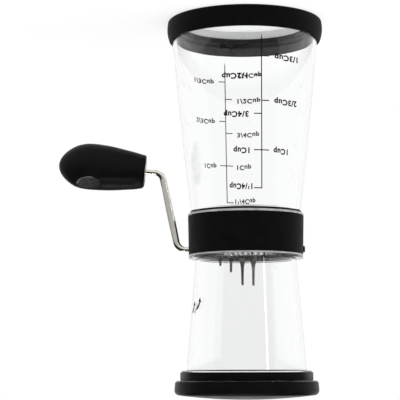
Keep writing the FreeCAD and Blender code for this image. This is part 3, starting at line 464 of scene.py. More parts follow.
def filleted(corners, closed):
    made = []
    for number, (r, z, radius) in enumerate(corners):
        here = Vector((r, z))
        atEnd = not closed and number in (0, len(corners) - 1)
        if radius <= 0 or atEnd:
            made.append(here)
            continue
        before = Vector(corners[number - 1][:2]) - here
        after = Vector(corners[(number + 1) % len(corners)][:2]) - here
        bend = math.pi - before.angle(after)
        reach = min(radius * math.tan(bend / 2), 0.48 * before.length, 0.48 * after.length)
        radius = reach / math.tan(bend / 2)
        middle = here + (before.normalized() + after.normalized()).normalized() * (radius / math.cos(bend / 2))
        first = here + before.normalized() * reach - middle
        steps = max(3, int(math.degrees(bend) / 15))
        sweep = first.angle_signed(here + after.normalized() * reach - middle)
        made += [middle + Matrix.Rotation(-sweep * step / steps, 2) @ first for step in range(steps + 1)]
    if closed:
        made.append(made[0].copy())
    near, longest = 0.15, 6.0  # a short run beside every rounding keeps the long faces flat
    eased = [made[0]]
    for first, last in zip(made, made[1:]):
        way = last - first
        if way.length > 1.0:
            eased.append(first + way.normalized() * near)
            for step in range(1, int(way.length // longest) + 1):
                eased.append(first.lerp(last, step / (way.length // longest + 1)))
            eased.append(last - way.normalized() * near)
        eased.append(last)
    return eased


def turned(name, corners, material, columns=96, closed=True, threads=None, threadRows=None, place=None):
    outline = filleted(corners, closed)
    flags = [0.0] * len(outline)
    if threadRows:
        lowZ, highZ, radius, rows = threadRows
        dense = []
        for first, last in zip(outline, outline[1:]):
            dense.append(first)
            if all(lowZ - 0.01 <= p.y <= highZ + 0.01 and abs(p.x - radius) < 0.02 for p in (first, last)):
                steps = max(1, round(rows * abs(last.y - first.y) / (highZ - lowZ)))
                dense += [first.lerp(last, step / steps) for step in range(1, steps)]
        outline = dense + [outline[-1]]
        flags = [float(lowZ < p.y < highZ and abs(p.x - radius) < 0.02) for p in outline]
    source = polyline(name + "Outline", [(p.x * mm, 0.0, p.y * mm) for p in outline], {"threaded": flags})
    mesh = facingOut(grow(name, "turned", source, {"Columns": columns, "Material": material, **(threads or {})}))
    if place:
        mesh.transform(place)
    return mesh


def turnedPiece(name, corners, material, columns, body, node, closed=True, place=None):
    return asPiece(name, turned(name, corners, material, columns, closed, place=place), body, node)


def cutBy(mesh, cutter):
    holder, tool = linked("cutWork", mesh), linked("cutTool", cutter)
    modifier = holder.modifiers.new("cut", "BOOLEAN")
    modifier.object = tool
    modifier.operation = "DIFFERENCE"
    modifier.solver = "EXACT"
    cut = frozen(holder)
    bpy.data.objects.remove(tool)
    return cut


sleeveLow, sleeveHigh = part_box("crank_sleeve")
shaftHeight = (sleeveLow + sleeveHigh).z / 2 / mm
print("trees ready, shaft at", round(shaftHeight, 2))


def onShaft(low, turn=0.0):  # from this far along the shaft, towards the crank or the tail
    return (Matrix.Rotation(turn, 4, "Z") @ Matrix.Translation((low * mm, 0.0, shaftHeight * mm))
            @ Matrix.Rotation(math.pi / 2, 4, "Y"))


def drillRod(radius, reach=32.0):  # through both sides of the collar
    corners = [(0, 0, 0), (radius, 0, 0), (radius, 2 * reach, 0), (0, 2 * reach, 0)]
    return turned("drillRod", corners, None, 48, False, place=onShaft(-reach))


# Measuring jar

jar = {"footRadius": 39.6, "shoulderRadius": 29.0, "low": 1.5, "high": 103.0, "bulge": 0.5, "wall": 2.3,
       "floorTop": 4.0, "innerTop": 102.2, "neckRadius": 24.9, "neckTop": 113.5, "neckWall": 2.0,
       "threadDepth": 1.05, "threadMiddle": 104.9, "threadArc": 200 / 360, "threadRows": 44, "columns": 240}


def bowedSide(lowRadius, low, highRadius, high, count=18):
    return [(lowRadius + (highRadius - lowRadius) * t + 4 * jar["bulge"] * t * (1 - t), low + (high - low) * t, 0)
            for t in (step / count for step in range(1, count))]


def threadSizes(at):
    return {"Thread Depth": at["threadDepth"] * mm, "Thread Middle": at["threadMiddle"] * mm,
            "Thread Arc": at["threadArc"]}


def makeJar():
    at = jar
    inFoot, inShoulder = at["footRadius"] - at["wall"], at["shoulderRadius"] - at["wall"]
    inNeck = at["neckRadius"] - at["neckWall"]
    side = bowedSide(at["footRadius"], at["low"], at["shoulderRadius"], at["high"])
    inner = bowedSide(inFoot, at["floorTop"], inShoulder, at["innerTop"])
    corners = profile(at, (0, "low", 0), ("footRadius", "low", 2.2), *side, ("shoulderRadius", "high", 0.9),
                      ("neckRadius", "high", 0.4), ("neckRadius", "neckTop", 0.5), (inNeck, "neckTop", 0.5),
                      (inNeck, "innerTop", 0.8), (inShoulder, "innerTop", 0.6), *reversed(inner),
                      (inFoot, "floorTop", 2.6), (0, "floorTop", 0))
    mesh = turned("jarBody", corners, jarClear, at["columns"], False, threadSizes(at),
                  (at["high"] + 0.4, at["neckTop"] - 0.5, at["neckRadius"], at["threadRows"]))
    asPiece("jarBody", mesh, "jar", "measuring_jar")


makeJar()
print("jar made")


# Foot ring

footRing = {"lipRadius": 34.0, "foot": 41.05, "radius": 41.5, "widest": 4.9, "top": 11.15, "topInner": 38.84,
            "wall": 1.35, "inner": 39.68, "lip": 1.5, "base": 1.7, "fullness": 1.9, "columns": 192}


def makeFootRing():
    at = footRing
    topOuter = at["topInner"] + at["wall"]
    upper = [(topOuter + (at["radius"] - topOuter) * (1 - t ** at["fullness"]),
              at["widest"] + (at["top"] - at["widest"]) * t, 0) for t in (step / 8 for step in range(1, 8))]
    corners = profile(at, ("lipRadius", 0.0, 0.4), ("foot", 0.0, "base"), (at["radius"] - 0.1, at["base"] + 1.1, 0.3),
                      ("radius", "widest", 0), *upper, (topOuter, "top", 0.3), ("topInner", "top", 0.2),
                      ("inner", "lip", 1.0), ("lipRadius", "lip", 0.4))
    turnedPiece("footRing", corners, footRubber, at["columns"], "jar", "foot_ring")


makeFootRing()


# Gasket

gasket = {"inner": 26.3, "bottom": 103.0, "outer": 29.6, "top": 103.9, "columns": 192,
          # the outer edge is squeezed out over the jar's rounded shoulder
          "squeezed": [(28.2, 103.01, 0), (28.58, 102.9, 0), (28.84, 102.67, 0.05), (29.4, 102.85, 0.2)]}


def makeGasket():
    at = gasket
    corners = profile(at, ("inner", "bottom", 0.2), *at["squeezed"], ("outer", "top", 0.2), ("inner", "top", 0.2))
    turnedPiece("jarGasket", corners, gasketGrey, at["columns"], "gasket", "jar_gasket")


makeGasket()
print("foot ring and gasket made")


# Hopper

hopper = {"skirtInner": 26.3, "skirtOuter": 28.0, "lowFlange": 30.6, "highFlange": 30.2, "bottom": 103.9,
          "bandBottom": 105.1, "bandTop": 125.6, "flangeTop": 127.7, "groove": 0.4, "grooveDepth": 0.9,
          "wallLow": 26.6, "wallHigh": 31.5, "wall": 2.2, "ringBottom": 186.35, "ringTop": 187.15, "ringRadius": 34.2,
          "lipBottom": 191.5, "lipTop": 192.2, "lipRadius": 37.2, "mouthTop": 29.79, "throat": 23.2, "slope": 2.0,
          "seat": 117.0, "bushBore": 2.32, "threadDepth": -1.05, "threadMiddle": 106.9, "threadArc": 60 / 360,
          "threadRows": 50, "columns": 216,
          # outer edges painted pale, as painted light for the light caught in the clear flange: from, to, outside this
          # radius
          "paintedLightBands": [(103.95, 105.05, 30.3), (125.65, 126.45, 29.9)]}


def makeHopper():
    at = hopper
    grooveLow = (at["bandTop"] + at["flangeTop"] - at["groove"]) / 2
    grooveHigh = grooveLow + at["groove"]
    inGroove = at["highFlange"] - at["grooveDepth"]
    corners = profile(
        at, ("skirtInner", "bottom", 0.3), ("lowFlange", "bottom", 0.45), ("lowFlange", "bandBottom", 0.3),
        ("skirtOuter", "bandBottom", 0.15), ("skirtOuter", "bandTop", 0.15), ("highFlange", "bandTop", 0.25),
        ("highFlange", grooveLow, 0.15), (inGroove, grooveLow, 0.1), (inGroove, grooveHigh, 0.1),
        ("highFlange", grooveHigh, 0.15), ("highFlange", "flangeTop", 0.3), ("wallLow", "flangeTop", 0.5),
        ("wallHigh", "ringBottom", 0.4), ("ringRadius", "ringBottom", 0.2), ("ringRadius", "ringTop", 0.15),
        ("wallHigh", "ringTop", 0.1), ("wallHigh", "lipBottom", 0.1), ("lipRadius", "lipBottom", 0.2),
        ("lipRadius", "lipTop", 0.2), ("mouthTop", "lipTop", 0.4), (at["wallLow"] - at["wall"], "flangeTop", 1.0),
        ("throat", at["flangeTop"] - at["slope"], 0.8), ("throat", "seat", 0.3), ("skirtInner", "seat", 0.2))
    mesh = turned("hopperBody", corners, hopperClear, at["columns"], True, threadSizes(at),
                  (at["bottom"] + 0.3, at["seat"] - 0.2, at["skirtInner"], at["threadRows"]))
    mesh = cutBy(mesh, drillRod(at["bushBore"]))
    # the pale finish on these edge faces is painted light
    mesh.materials.append(paintedEdgeLight)
    for face in mesh.polygons:
        height, radius = face.center.z / mm, math.hypot(face.center.x, face.center.y) / mm
        if any(low < height < high and radius > least for low, high, least in at["paintedLightBands"]):
            face.material_index = len(mesh.materials) - 1
    asPiece("hopperBody", mesh, "hopper", "hopper", sharp=50)


makeHopper()
print("hopper made")


# Grip band and the band round the hopper's mouth

gripBand = {"inner": 28.08, "low": 105.1, "lowRadius": 30.6, "high": 125.6, "highRadius": 30.2, "edge": 0.35,
            "rodHole": 1.7}
mouthBand = {"inner": 31.58, "low": 187.15, "lowRadius": 34.8, "high": 191.5, "highRadius": 34.8, "edge": 0.35}


def makeBand(name, node, at, material, columns=216):
    corners = profile(at, ("inner", "low", 0.1), ("lowRadius", "low", "edge"), ("highRadius", "high", "edge"),
                      ("inner", "high", 0.1))
    mesh = turned(name, corners, material, columns)
    if "rodHole" in at:
        mesh = cutBy(mesh, drillRod(at["rodHole"]))
    asPiece(name, mesh, "hopper", node, sharp=50)


makeBand("gripBand", "grip_band", gripBand, bandMatte)
makeBand("mouthBand", "mouth_band", mouthBand, mouthMatte)


# Lid

lid = {"crown": 201.4, "rimTop": 198.8, "rimRadius": 38.1, "rimFoot": 37.5, "rimBottom": 192.2, "rimRound": 2.6,
       "plugRadius": 29.44, "plugFoot": 187.2, "plugTaper": 0.3, "plugWall": 1.8, "ceiling": 196.6,
       "ceilingMiddle": 197.9, "columns": 192}


def makeLid():
    at = lid
    rise, inner = at["crown"] - at["rimTop"], at["plugRadius"] - at["plugWall"]
    dome = [(at["rimRadius"] * t, at["crown"] - rise * t * t, 0) for t in (step / 16 for step in range(1, 14))]
    corners = profile(at, (0, "crown", 0), *dome, ("rimRadius", "rimTop", "rimRound"), ("rimFoot", "rimBottom", 0.6),
                      ("plugRadius", "rimBottom", 0.3), (at["plugRadius"] - at["plugTaper"], "plugFoot", 0.4),
                      (inner, "plugFoot", 0.4), (inner, "ceiling", 0.6), (inner * 0.5, at["ceilingMiddle"] - 0.3, 0),
                      (0, "ceilingMiddle", 0))
    turnedPiece("lidCap", corners, lidSatin, at["columns"], "lid", "lid", closed=False)


makeLid()
print("bands and lid made")


# Bushes, sleeves, spacers and cap on the shaft

shaftPieces = {"bore": 1.45, "bush": 2.3, "flange": 3.2, "flangeThick": 0.8, "bushLong": 6.0, "bushAt": 21.8,
               "sleeve": 2.7, "spacer": 2.4, "spacerLong": 1.5, "spacerPitch": 5.85, "spacers": 5,
               "capAt": 30.4, "capBore": 1.43, "capFoot": 1.8, "capTip": 1.55, "capLong": 0.75, "capDepth": 0.4}


def makeShaftPieces():
    at = shaftPieces
    bush = profile(at, ("bore", 0, 0.15), ("flange", 0, 0.2), ("flange", "flangeThick", 0.2),
                   ("bush", "flangeThick", 0.1), ("bush", "bushLong", 0.2), ("bore", "bushLong", 0.15))
    for name, node, turn in (("crankBush", "crank_bush", 0.0), ("tailBush", "tail_bush", math.pi)):
        turnedPiece(name, bush, nylon, 64, "hopper", node, place=onShaft(at["bushAt"], turn))

    def tube(radius, length):
        return profile(at, ("bore", 0, 0.15), (radius, 0, 0.25), (radius, length, 0.25), ("bore", length, 0.15))

    for name, node in (("tailSleeve", "tail_sleeve"), ("crankSleeve", "crank_sleeve")):
        low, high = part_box(node)
        turnedPiece(name, tube(at["sleeve"], (high.x - low.x) / mm), turnedSteel, 64, "crank",
                    node, place=onShaft(low.x / mm))
    low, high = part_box("tine_spacers")
    spacer = turned("spacer", tube(at["spacer"], at["spacerLong"]), turnedSteel, 56, place=onShaft(low.x / mm))
    mesh = grow("tineSpacers", "row", spacer, {"Count": at["spacers"], "Pitch": (at["spacerPitch"] * mm, 0.0, 0.0),
                                               "Material": turnedSteel})
    asPiece("tineSpacers", mesh, "crank", "tine_spacers")
    cap = profile(at, ("capBore", 0, 0.05), ("capFoot", 0, 0.12), ("capTip", "capLong", 0.2), (0, "capLong", 0),
                  (0, "capDepth", 0), ("capBore", "capDepth", 0.05))
    turnedPiece("rodEndCap", cap, bandMatte, 48, "crank", "rod_end_cap", closed=False,
                place=onShaft(at["capAt"], math.pi))


makeShaftPieces()


# Crank rod

rod = {"radius": 1.4, "flat": 1.1, "flatEnd": 15.775, "tail": -30.8, "bend": 5.0, "upperX": 31.95, "lean": 11.65,
       "tilt": 5.2, "kneeX": 53.2, "throw": 41.5, "pinInKnob": 24.5, "armWide": 1.95, "armDeep": 0.95,
       "endWide": 1.8, "endDeep": 1.05, "columns": 40, "bendSteps": 12, "armSteps": 16,
       # places along the shaft, on the flats and past them, and shares of the way along the pin
       "onFlats": (-24.0, -16.0, -8.0, 0.0, 8.0), "pastFlats": (20.0, 26.0, 30.0), "onPin": (0.15, 0.3, 0.5, 0.7, 0.85),
       # how far in from each end, and the share of the radius there
       "tailRound": [(0.0, 0.001), (0.0, 0.8), (0.08, 0.94), (0.25, 1.0)],
       "pinRound": [(0.3, 1.0), (0.1, 0.94), (0.0, 0.8), (0.0, 0.001)]}
tilt = math.radians(rod["tilt"])


def makeRod():
    at = rod
    lean, bend, wire = math.radians(at["lean"]), at["bend"], at["radius"]
    armWay, armSide = Vector((math.sin(lean), -math.cos(lean))), Vector((math.cos(lean), math.sin(lean)))
    pinWay, pinSide = Vector((math.cos(tilt), -math.sin(tilt))), Vector((math.sin(tilt), math.cos(tilt)))
    upper = Vector((at["upperX"], -bend))
    knee = Vector((at["kneeX"], -at["throw"]))
    start = upper + armSide * 2 * bend
    gap = knee + pinSide * bend - start
    run = (gap.x * pinWay.y - gap.y * pinWay.x) / (armWay.x * pinWay.y - armWay.y * pinWay.x)
    lower = start + armWay * run
    stations = []  # place, turn of the width direction from +Z towards +X, half width, half depth, flat

    def add(spot, turn, wide, deep, flat=None):
        stations.append((spot, turn, wide, deep, flat or 2 * wide))

    def blend(first, last, t):
        return first + (last - first) * (t * t * (3 - 2 * t))

    for inset, share in at["tailRound"]:
        add(Vector((at["tail"], 0.0)) + Vector((1.0, 0.0)) * inset, 0.0, wire * share, wire * share, at["flat"])
    for x in (*at["onFlats"], at["flatEnd"] - 0.02):
        add(Vector((x, 0.0)), 0.0, wire, wire, at["flat"])
    for x in (at["flatEnd"] + 0.3, *at["pastFlats"]):
        add(Vector((x, 0.0)), 0.0, wire, wire)
    armTurn = math.pi / 2 - lean
    for step in range(at["bendSteps"] + 1):
        t = step / at["bendSteps"]
        turn = armTurn * t
        add(upper + Vector((math.sin(turn), math.cos(turn))) * bend, turn,
            blend(wire, at["endWide"], t), blend(wire, at["endDeep"], t))
    armTop = upper + armSide * bend
    for step in range(1, at["armSteps"]):
        t = step / at["armSteps"]
        swell = math.sin(math.pi * t)
        add(armTop + armWay * run * t, armTurn, at["endWide"] + (at["armWide"] - at["endWide"]) * swell,
            at["endDeep"] + (at["armDeep"] - at["endDeep"]) * swell)
    for step in range(at["bendSteps"] + 1):
        t = step / at["bendSteps"]
        turn = armTurn + (tilt - armTurn) * t
        add(lower - Vector((math.sin(turn), math.cos(turn))) * bend, turn,
            blend(at["endWide"], wire, t), blend(at["endDeep"], wire, t))
    pinStart, pinEnd = lower - pinSide * bend, knee + pinWay * at["pinInKnob"]
    for t in at["onPin"]:
        add(pinStart.lerp(pinEnd, t), tilt, wire, wire)
    for inset, share in at["pinRound"]:
        add(pinEnd - pinWay * inset, tilt, wire * share, wire * share)
    ran, runs = 0.0, []
    for number, station in enumerate(stations):
        ran += (station[0] - stations[number - 1][0]).length if number else 0.0
        runs.append(ran * mm)
    spots, turns, wides, deeps, flats = zip(*stations)
    values = {"sideTurn": turns, "halfWidth": [wide * mm for wide in wides], "halfDepth": [deep * mm for deep in deeps],
              "flatAt": [flat * mm for flat in flats], "run": runs}
    path = polyline("rodPath", [(spot.x * mm, 0.0, (spot.y + shaftHeight) * mm) for spot in spots], values)
    mesh = facingOut(grow("crankRod", "swept", path, {"Columns": at["columns"], "Material": wireSteel}))
    asPiece("crankRod", mesh, "crank", "crank_rod", sharp=40)


makeRod()
print("shaft pieces and rod made")


# Tines

tine = {"count": 6, "voxel": 0.2, "smooth": 2, "pitting": 0.02, "deepest": 0.2, "coarse": 0.9, "fine": 2.4}


def makeTine(number):
    at = tine
    node = "tine_bar_%d" % number
    holder = linked("tineWork", settled(opened(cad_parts[node].data, 1e-6), "tineRough"))
    remesh = holder.modifiers.new("cast", "REMESH")
    remesh.mode = "VOXEL"
    remesh.voxel_size = at["voxel"] * mm
    soften = holder.modifiers.new("soften", "SMOOTH")
    soften.factor = 0.5
    soften.iterations = at["smooth"]
    cast = frozen(holder)
    work = opened(cast)
    work.normal_update()
    shift = Vector((number * 7.0, 0, 0))  # no two tines have the same lumps
    for vertex in work.verts:
        spot = vertex.co / mm
        lump = noise.noise(spot * at["coarse"] + shift) + 0.5 * noise.noise(spot * at["fine"])
        vertex.co += vertex.normal * (min(lump, at["deepest"]) * (at["pitting"] * mm))
    settled(work, cast)
    cast.materials.clear()
    cast.materials.append(castSteel)
    asPiece("tineBar%d" % number, cast, "crank", node)


for number in range(1, tine["count"] + 1):
    makeTine(number)
print("tines made")


# Tooth plate and its screws

plate = {"weld": 1e-6, "flatWithin": 2, "edge": 0.12, "edgeOver": 40}
screw = {"headRadius": 1.0, "headFlat": 0.7, "headRound": 0.35, "headTall": 0.8, "shank": 0.6, "pointRadius": 0.15,
         "pointLong": 0.5, "slot": (2.6, 0.3, 0.7), "count": 4, "circle": 25.0, "first": 45}


def makePlate():
    at = plate
    work = opened(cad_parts["tooth_plate"].data, at["weld"])
    bmesh.ops.dissolve_limit(work, angle_limit=math.radians(at["flatWithin"]), verts=work.verts, edges=work.edges)
    mesh = settled(work, "toothPlate")
    mesh.materials.clear()
    mesh.materials.append(stampedSteel)
    bevel = asPiece("toothPlate", mesh, "hopper", "tooth_plate", sharp=35).modifiers.new(
        "edges", "BEVEL")
    bevel.width = at["edge"] * mm
    bevel.segments = 2
    bevel.limit_method = "ANGLE"
    bevel.angle_limit = math.radians(at["edgeOver"])


def makeScrews():
    at = screw
    low, high = (corner.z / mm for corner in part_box("tooth_plate_screws"))
    corners = profile(at, (0, low, 0), ("headFlat", low, 0.1), ("headRadius", low + at["headRound"], 0.2),
                      ("headRadius", low + at["headTall"], 0.1), ("shank", low + at["headTall"], 0),
                      ("shank", high - at["pointLong"], 0), ("pointRadius", high, 0), (0, high, 0))
    slot = bmesh.new()
    bmesh.ops.create_cube(slot, size=1.0)
    bmesh.ops.scale(slot, vec=Vector(at["slot"]) * mm, verts=slot.verts)
    bmesh.ops.translate(slot, vec=(0, 0, low * mm), verts=slot.verts)
    one = cutBy(turned("screw", corners, stampedSteel, 40, False), settled(slot, "screwSlot"))
    mesh = grow("plateScrews", "ring", one, {"Count": at["count"], "Radius": at["circle"] * mm,
                                             "First": math.radians(at["first"]), "Material": stampedSteel})
    asPiece("plateScrews", mesh, "hopper", "tooth_plate_screws", sharp=35)


makePlate()
makeScrews()
print("plate and screws made")


# Knob, with its liner and clip

knob = {"cavity": 4.53, "columns": 168,
        "scoopAt": 28.9, "scoopTurn": 57.5, "scoopLong": 6.6, "scoopHigh": 5.2, "scoopDeep": 1.25, "scoopSkew": 0.12,
        "bowl": 2.6, "wearAndPaintedLight": 2.2, "rimHigh": 0.22, "rimAt": 1.03, "rimWide": 0.1, "farRim": 0.25,
        "shineAt": 0.93, "shineWide": 0.07, "creaseFrom": 3.0, "creaseTo": 25.0, "creaseTurn": 42.0,
        "creaseHigh": 2.24, "creaseDeep": 0.32, "fadeIn": 2.5, "fadeOut": 3.0,
        "tipFrom": 40.5, "tipEnd": 46.0, "tipBlunt": 14.9, "tipEase": 0.178, "tipDepth": 0.87,
        "mouth": 1.1, "mouthRows": (0.45, 0.75, 0.93),
        # place along the pin, half height, half depth, rise of the middle above the pin
        "sections": [(0.0, 7.6, 6.7, -0.2), (1.7, 9.0, 7.8, 0.15), (11.5, 10.8, 9.2, 0.05), (20.0, 11.9, 10.1, -0.1),
                     (30.0, 12.25, 10.4, -0.15), (36.0, 11.2, 9.6, 0.1), (40.5, 8.75, 7.6, 0.2), (43.7, 5.8, 5.1, 0.3),
                     (45.35, 3.1, 2.75, 0.35), (46.0, 0.9, 0.8, 0.35)],
        # rows of the cavity, from its end to its mouth: place along the pin, share of its radius
        "inside": [(30.25, 0.0), (30.25, 0.55), (30.25, 1.0), (29.95, 1.0), (24.0, 1.0), (16.0, 1.0), (8.0, 1.0),
                   (0.5, 1.0), (0.12, 1.04), (0.0, 1.1)],
        # rows of the outside: the rounded near edge, even steps, then what is left to the tip
        "nearRows": [0.03, 0.12, 0.3, 0.6, 1.0, 1.5, 2.2, 3.0], "evenStep": 0.36, "evenRows": 104,
        "tipRows": [5.0, 4.4, 3.8, 3.2, 2.6, 2.1, 1.6, 1.2, 0.85, 0.55, 0.32, 0.16, 0.06, 0.015]}
liner = {"bore": 1.45, "radius": 4.5, "end": 30, "pocket": 3.3, "pocketFrom": 22, "columns": 64}
clip = {"bore": 1.43, "radius": 2.9, "low": 22.25, "rimLow": 22.45, "rimHigh": 22.85, "hub": 1.9, "hubAt": 22.95,
        "high": 23.25, "columns": 48}
onPin = (Matrix.Translation((rod["kneeX"] * mm, 0.0, (shaftHeight - rod["throw"]) * mm))
         @ Matrix.Rotation(math.pi / 2 + tilt, 4, "Y"))


def between(table, s, column):  # on a smooth curve through the rows of the table
    if s <= table[0][0]:
        return table[0][column]
    for number in range(len(table) - 1):
        first, last = table[number], table[number + 1]
        if s <= last[0]:
            before = table[max(number - 1, 0)]
            after = table[min(number + 2, len(table) - 1)]
            wide = last[0] - first[0]
            t = (s - first[0]) / wide
            slopeIn = (last[column] - before[column]) / max(last[0] - before[0], 1e-6) * wide
            slopeOut = (after[column] - first[column]) / max(after[0] - first[0], 1e-6) * wide
            return ((2 * t ** 3 - 3 * t * t + 1) * first[column] + (t ** 3 - 2 * t * t + t) * slopeIn
                    + (-2 * t ** 3 + 3 * t * t) * last[column] + (t ** 3 - t * t) * slopeOut)
    return table[-1][column]


def carved(s, turn, size):  # how deep the thumb scoop and the crease are here, how much painted light the scoop's bowl gets, how polished
    at = knob
    dent, mark, shine = 0.0, 0.0, 0.0
    off = math.degrees((turn + math.pi) % math.tau - math.pi)
    across = math.radians(off - at["scoopTurn"]) * size / 2
    lengthways = (s - at["scoopAt"] - at["scoopSkew"] * across) / at["scoopLong"]
    reach = math.sqrt(lengthways ** 2 + (across / at["scoopHigh"]) ** 2)
    if reach < 1.25:
        bowl = max(0.0, 1 - reach ** at["bowl"])
        rim = math.exp(-((reach - at["rimAt"]) / at["rimWide"]) ** 2) * (1.0 if across < 0.5 else at["farRim"])
        dent += at["scoopDeep"] * bowl - at["rimHigh"] * rim
        # the bowl's mark is painted light, paler where the bowl faces up
        mark = min(1.0, bowl * at["wearAndPaintedLight"])
        if across < 0.8:
            shine = math.exp(-((reach - at["shineAt"]) / at["shineWide"]) ** 2)
    fade = min(1, max(0, (s - at["creaseFrom"]) / at["fadeIn"])) * min(1, max(0, (at["creaseTo"] - s) / at["fadeOut"]))
    band = math.radians(off - at["creaseTurn"]) * size / 2 / at["creaseHigh"]
    dent += at["creaseDeep"] * fade * max(0.0, 1 - band ** 2)
    return dent, mark, shine


def makeKnob():
    at = knob
    way = Vector((math.cos(tilt), 0.0, -math.sin(tilt)))
    up = Vector((math.sin(tilt), 0.0, math.cos(tilt)))
    near = Vector((0.0, -1.0, 0.0))
    origin = Vector((rod["kneeX"], 0.0, shaftHeight - rod["throw"]))
    columns = at["columns"]
    face, edge = at["sections"][:2]
    points, paintedLight, polish = [], [], []

    def addRow(s, halfHigh, halfDeep, rise, carve=False):
        for column in range(columns):
            turn = math.tau * column / columns  # 0 is the front, a quarter is the top
            dent, mark, shine = carved(s, turn, halfHigh + halfDeep) if carve else (0.0, 0.0, 0.0)
            scale = 1 - dent / max(halfHigh, 1.0)
            spot = (origin + way * s + up * (rise + halfHigh * math.sin(turn) * scale)
                    + near * (halfDeep * math.cos(turn) * scale))
            points.append(spot * mm)
            paintedLight.append(mark)
            polish.append(shine)

    for s, share in at["inside"]:
        radius = at["cavity"] * max(share, 0.0005)
        addRow(s, radius, radius, 0.0)
    mouth = at["cavity"] * at["mouth"]
    for share in at["mouthRows"]:  # the near face, from the cavity out to its edge
        addRow(0.0, mouth + (face[1] - mouth) * share, mouth + (face[2] - mouth) * share, face[3] * share)
    steps = at["nearRows"] + [at["nearRows"][-1] + at["evenStep"] * n for n in range(1, at["evenRows"] + 1)]
    for s in steps + [at["tipEnd"] - left for left in at["tipRows"]]:
        high, deep, rise = (between(at["sections"], s, column) for column in (1, 2, 3))
        if s < edge[0]:  # rounding of the near edge
            eased = math.sqrt(max(0.0, 1 - ((edge[0] - s) / edge[0]) ** 2))
            high = face[1] + (edge[1] - face[1]) * eased
            deep = face[2] + (edge[2] - face[2]) * eased
        if s > at["tipFrom"]:  # blunt round tip
            left = at["tipEnd"] - s
            high = math.sqrt(left * (at["tipBlunt"] - at["tipEase"] * left))
            deep = high * at["tipDepth"]
        addRow(s, high, deep, rise, True)
    addRow(at["tipEnd"], 0.002, 0.002, at["sections"][-1][3])
    faces = []
    for start in range(0, len(points) - columns, columns):
        for column in range(columns):
            here, beside = start + column, start + (column + 1) % columns
            faces.append((here, beside, beside + columns, here + columns))
    mesh = bpy.data.meshes.new("knobGrip")
    mesh.from_pydata(points, [], faces)
    for name, values in (("thumbPaintedLight", paintedLight), ("thumbRim", polish)):
        mesh.attributes.new(name, "FLOAT", "POINT").data.foreach_set("value", values)
    mesh.materials.append(gripSoft)
    asPiece("knobGrip", facingOut(mesh), "knob", "knob_grip", sharp=60)


def makeLinerAndClip():
    corners = profile(liner, ("bore", 0, 0.2), ("radius", 0, 0.2), ("radius", "end", 0.2), ("pocket", "end", 0.1),
                      ("pocket", "pocketFrom", 0.1), ("bore", "pocketFrom", 0.1))
    turnedPiece("knobCore", corners, nylon, liner["columns"], "knob", "knob_core", place=onPin)
    corners = profile(clip, ("bore", "low", 0.05), ("radius", "rimLow", 0.15), ("radius", "rimHigh", 0.15),
                      ("hub", "hubAt", 0.1), ("bore", "high", 0.1))
    turnedPiece("pinClip", corners, stampedSteel, clip["columns"], "crank", "pin_clip", place=onPin)


makeKnob()
makeLinerAndClip()
print("knob made")


# Printed scales

scale = {"lineAt": -7.5, "lineTop": 93.5, "lineFoot": 15.0, "lineWidth": 0.54, "lineStep": 3.0, "point": 2.0,
         "tick": 4.0, "tickWidth": 0.54, "inkDepth": 0.03, "lift": 0.03, "emphasis": 0.044, "spacing": 1.12,
         # height, ticks to the left and to the right, words, from, to
         "marks": [(93.5, 0, 1, "1¹/4", -2.6, 9.2), (74.2, 1, 1, "1", -1.2, 7.1), (55.7, 0, 1, "3/4", -0.8, 12.2),
                   (49.0, 1, 0, "2/3", -29.15, -14.35), (36.2, 0, 1, "1/2", -0.3, 13.2),
                   (26.3, 1, 0, "1/3", -29.55, -14.55), (21.4, 0, 1, "1/4", 0.7, 14.2)],
         "leftOnes": [(74.2, "1", -22.95, -13.95)],
         # name, facing, top mark higher, its words lower, words higher, height of the capitals
         "sides": [("scaleFront", 0.0, 0.0, 1.1, 0.4, 2.75), ("scaleBack", 175.2, 1.4, 1.6, 0.9, 2.5)]}


def flatWords(words, height, start, end, level):
    font = bpy.data.curves.new("figures", "FONT")
    font.body = words
    font.size = 1.0
    font.offset = scale["emphasis"]
    font.space_character = scale["spacing"]
    font.extrude = 0.5
    font.resolution_u = 4
    mesh = frozen(linked("figures", font))
    low, high = ([pick(v.co[i] for v in mesh.vertices) for i in range(3)] for pick in (min, max))
    wide = (end - start) / (high[0] - low[0])
    tall = height / 0.70  # capitals are 0.70 of the font's size
    work = opened(mesh)
    for vertex in work.verts:
        x, y, z = vertex.co
        vertex.co = ((start + (x - low[0]) * wide) * mm, -z * scale["inkDepth"] * mm,
                     (level + (y - 0.35) * tall) * mm)
    bmesh.ops.remove_doubles(work, verts=work.verts, dist=1e-7)
    bmesh.ops.recalc_face_normals(work, faces=work.faces)
    return settled(work, mesh)


def joined(name, meshes):
    work = bmesh.new()
    for mesh in meshes:
        work.from_mesh(mesh)
    return settled(work, name)


def ribbon(name, pairs):  # flat ink through pairs of edge points
    work = bmesh.new()
    rows = [[work.verts.new((x * mm, side * scale["inkDepth"] / 2 * mm, z * mm))
             for (x, z), side in ((one, -1), (other, -1), (other, 1), (one, 1))] for one, other in pairs]
    for first, last in zip(rows, rows[1:]):
        for side in range(4):
            after = (side + 1) % 4
            work.faces.new((first[side], first[after], last[after], last[side]))
    work.faces.new(rows[0])
    work.faces.new(reversed(rows[-1]))
    bmesh.ops.recalc_face_normals(work, faces=work.faces)
    return settled(work, name)


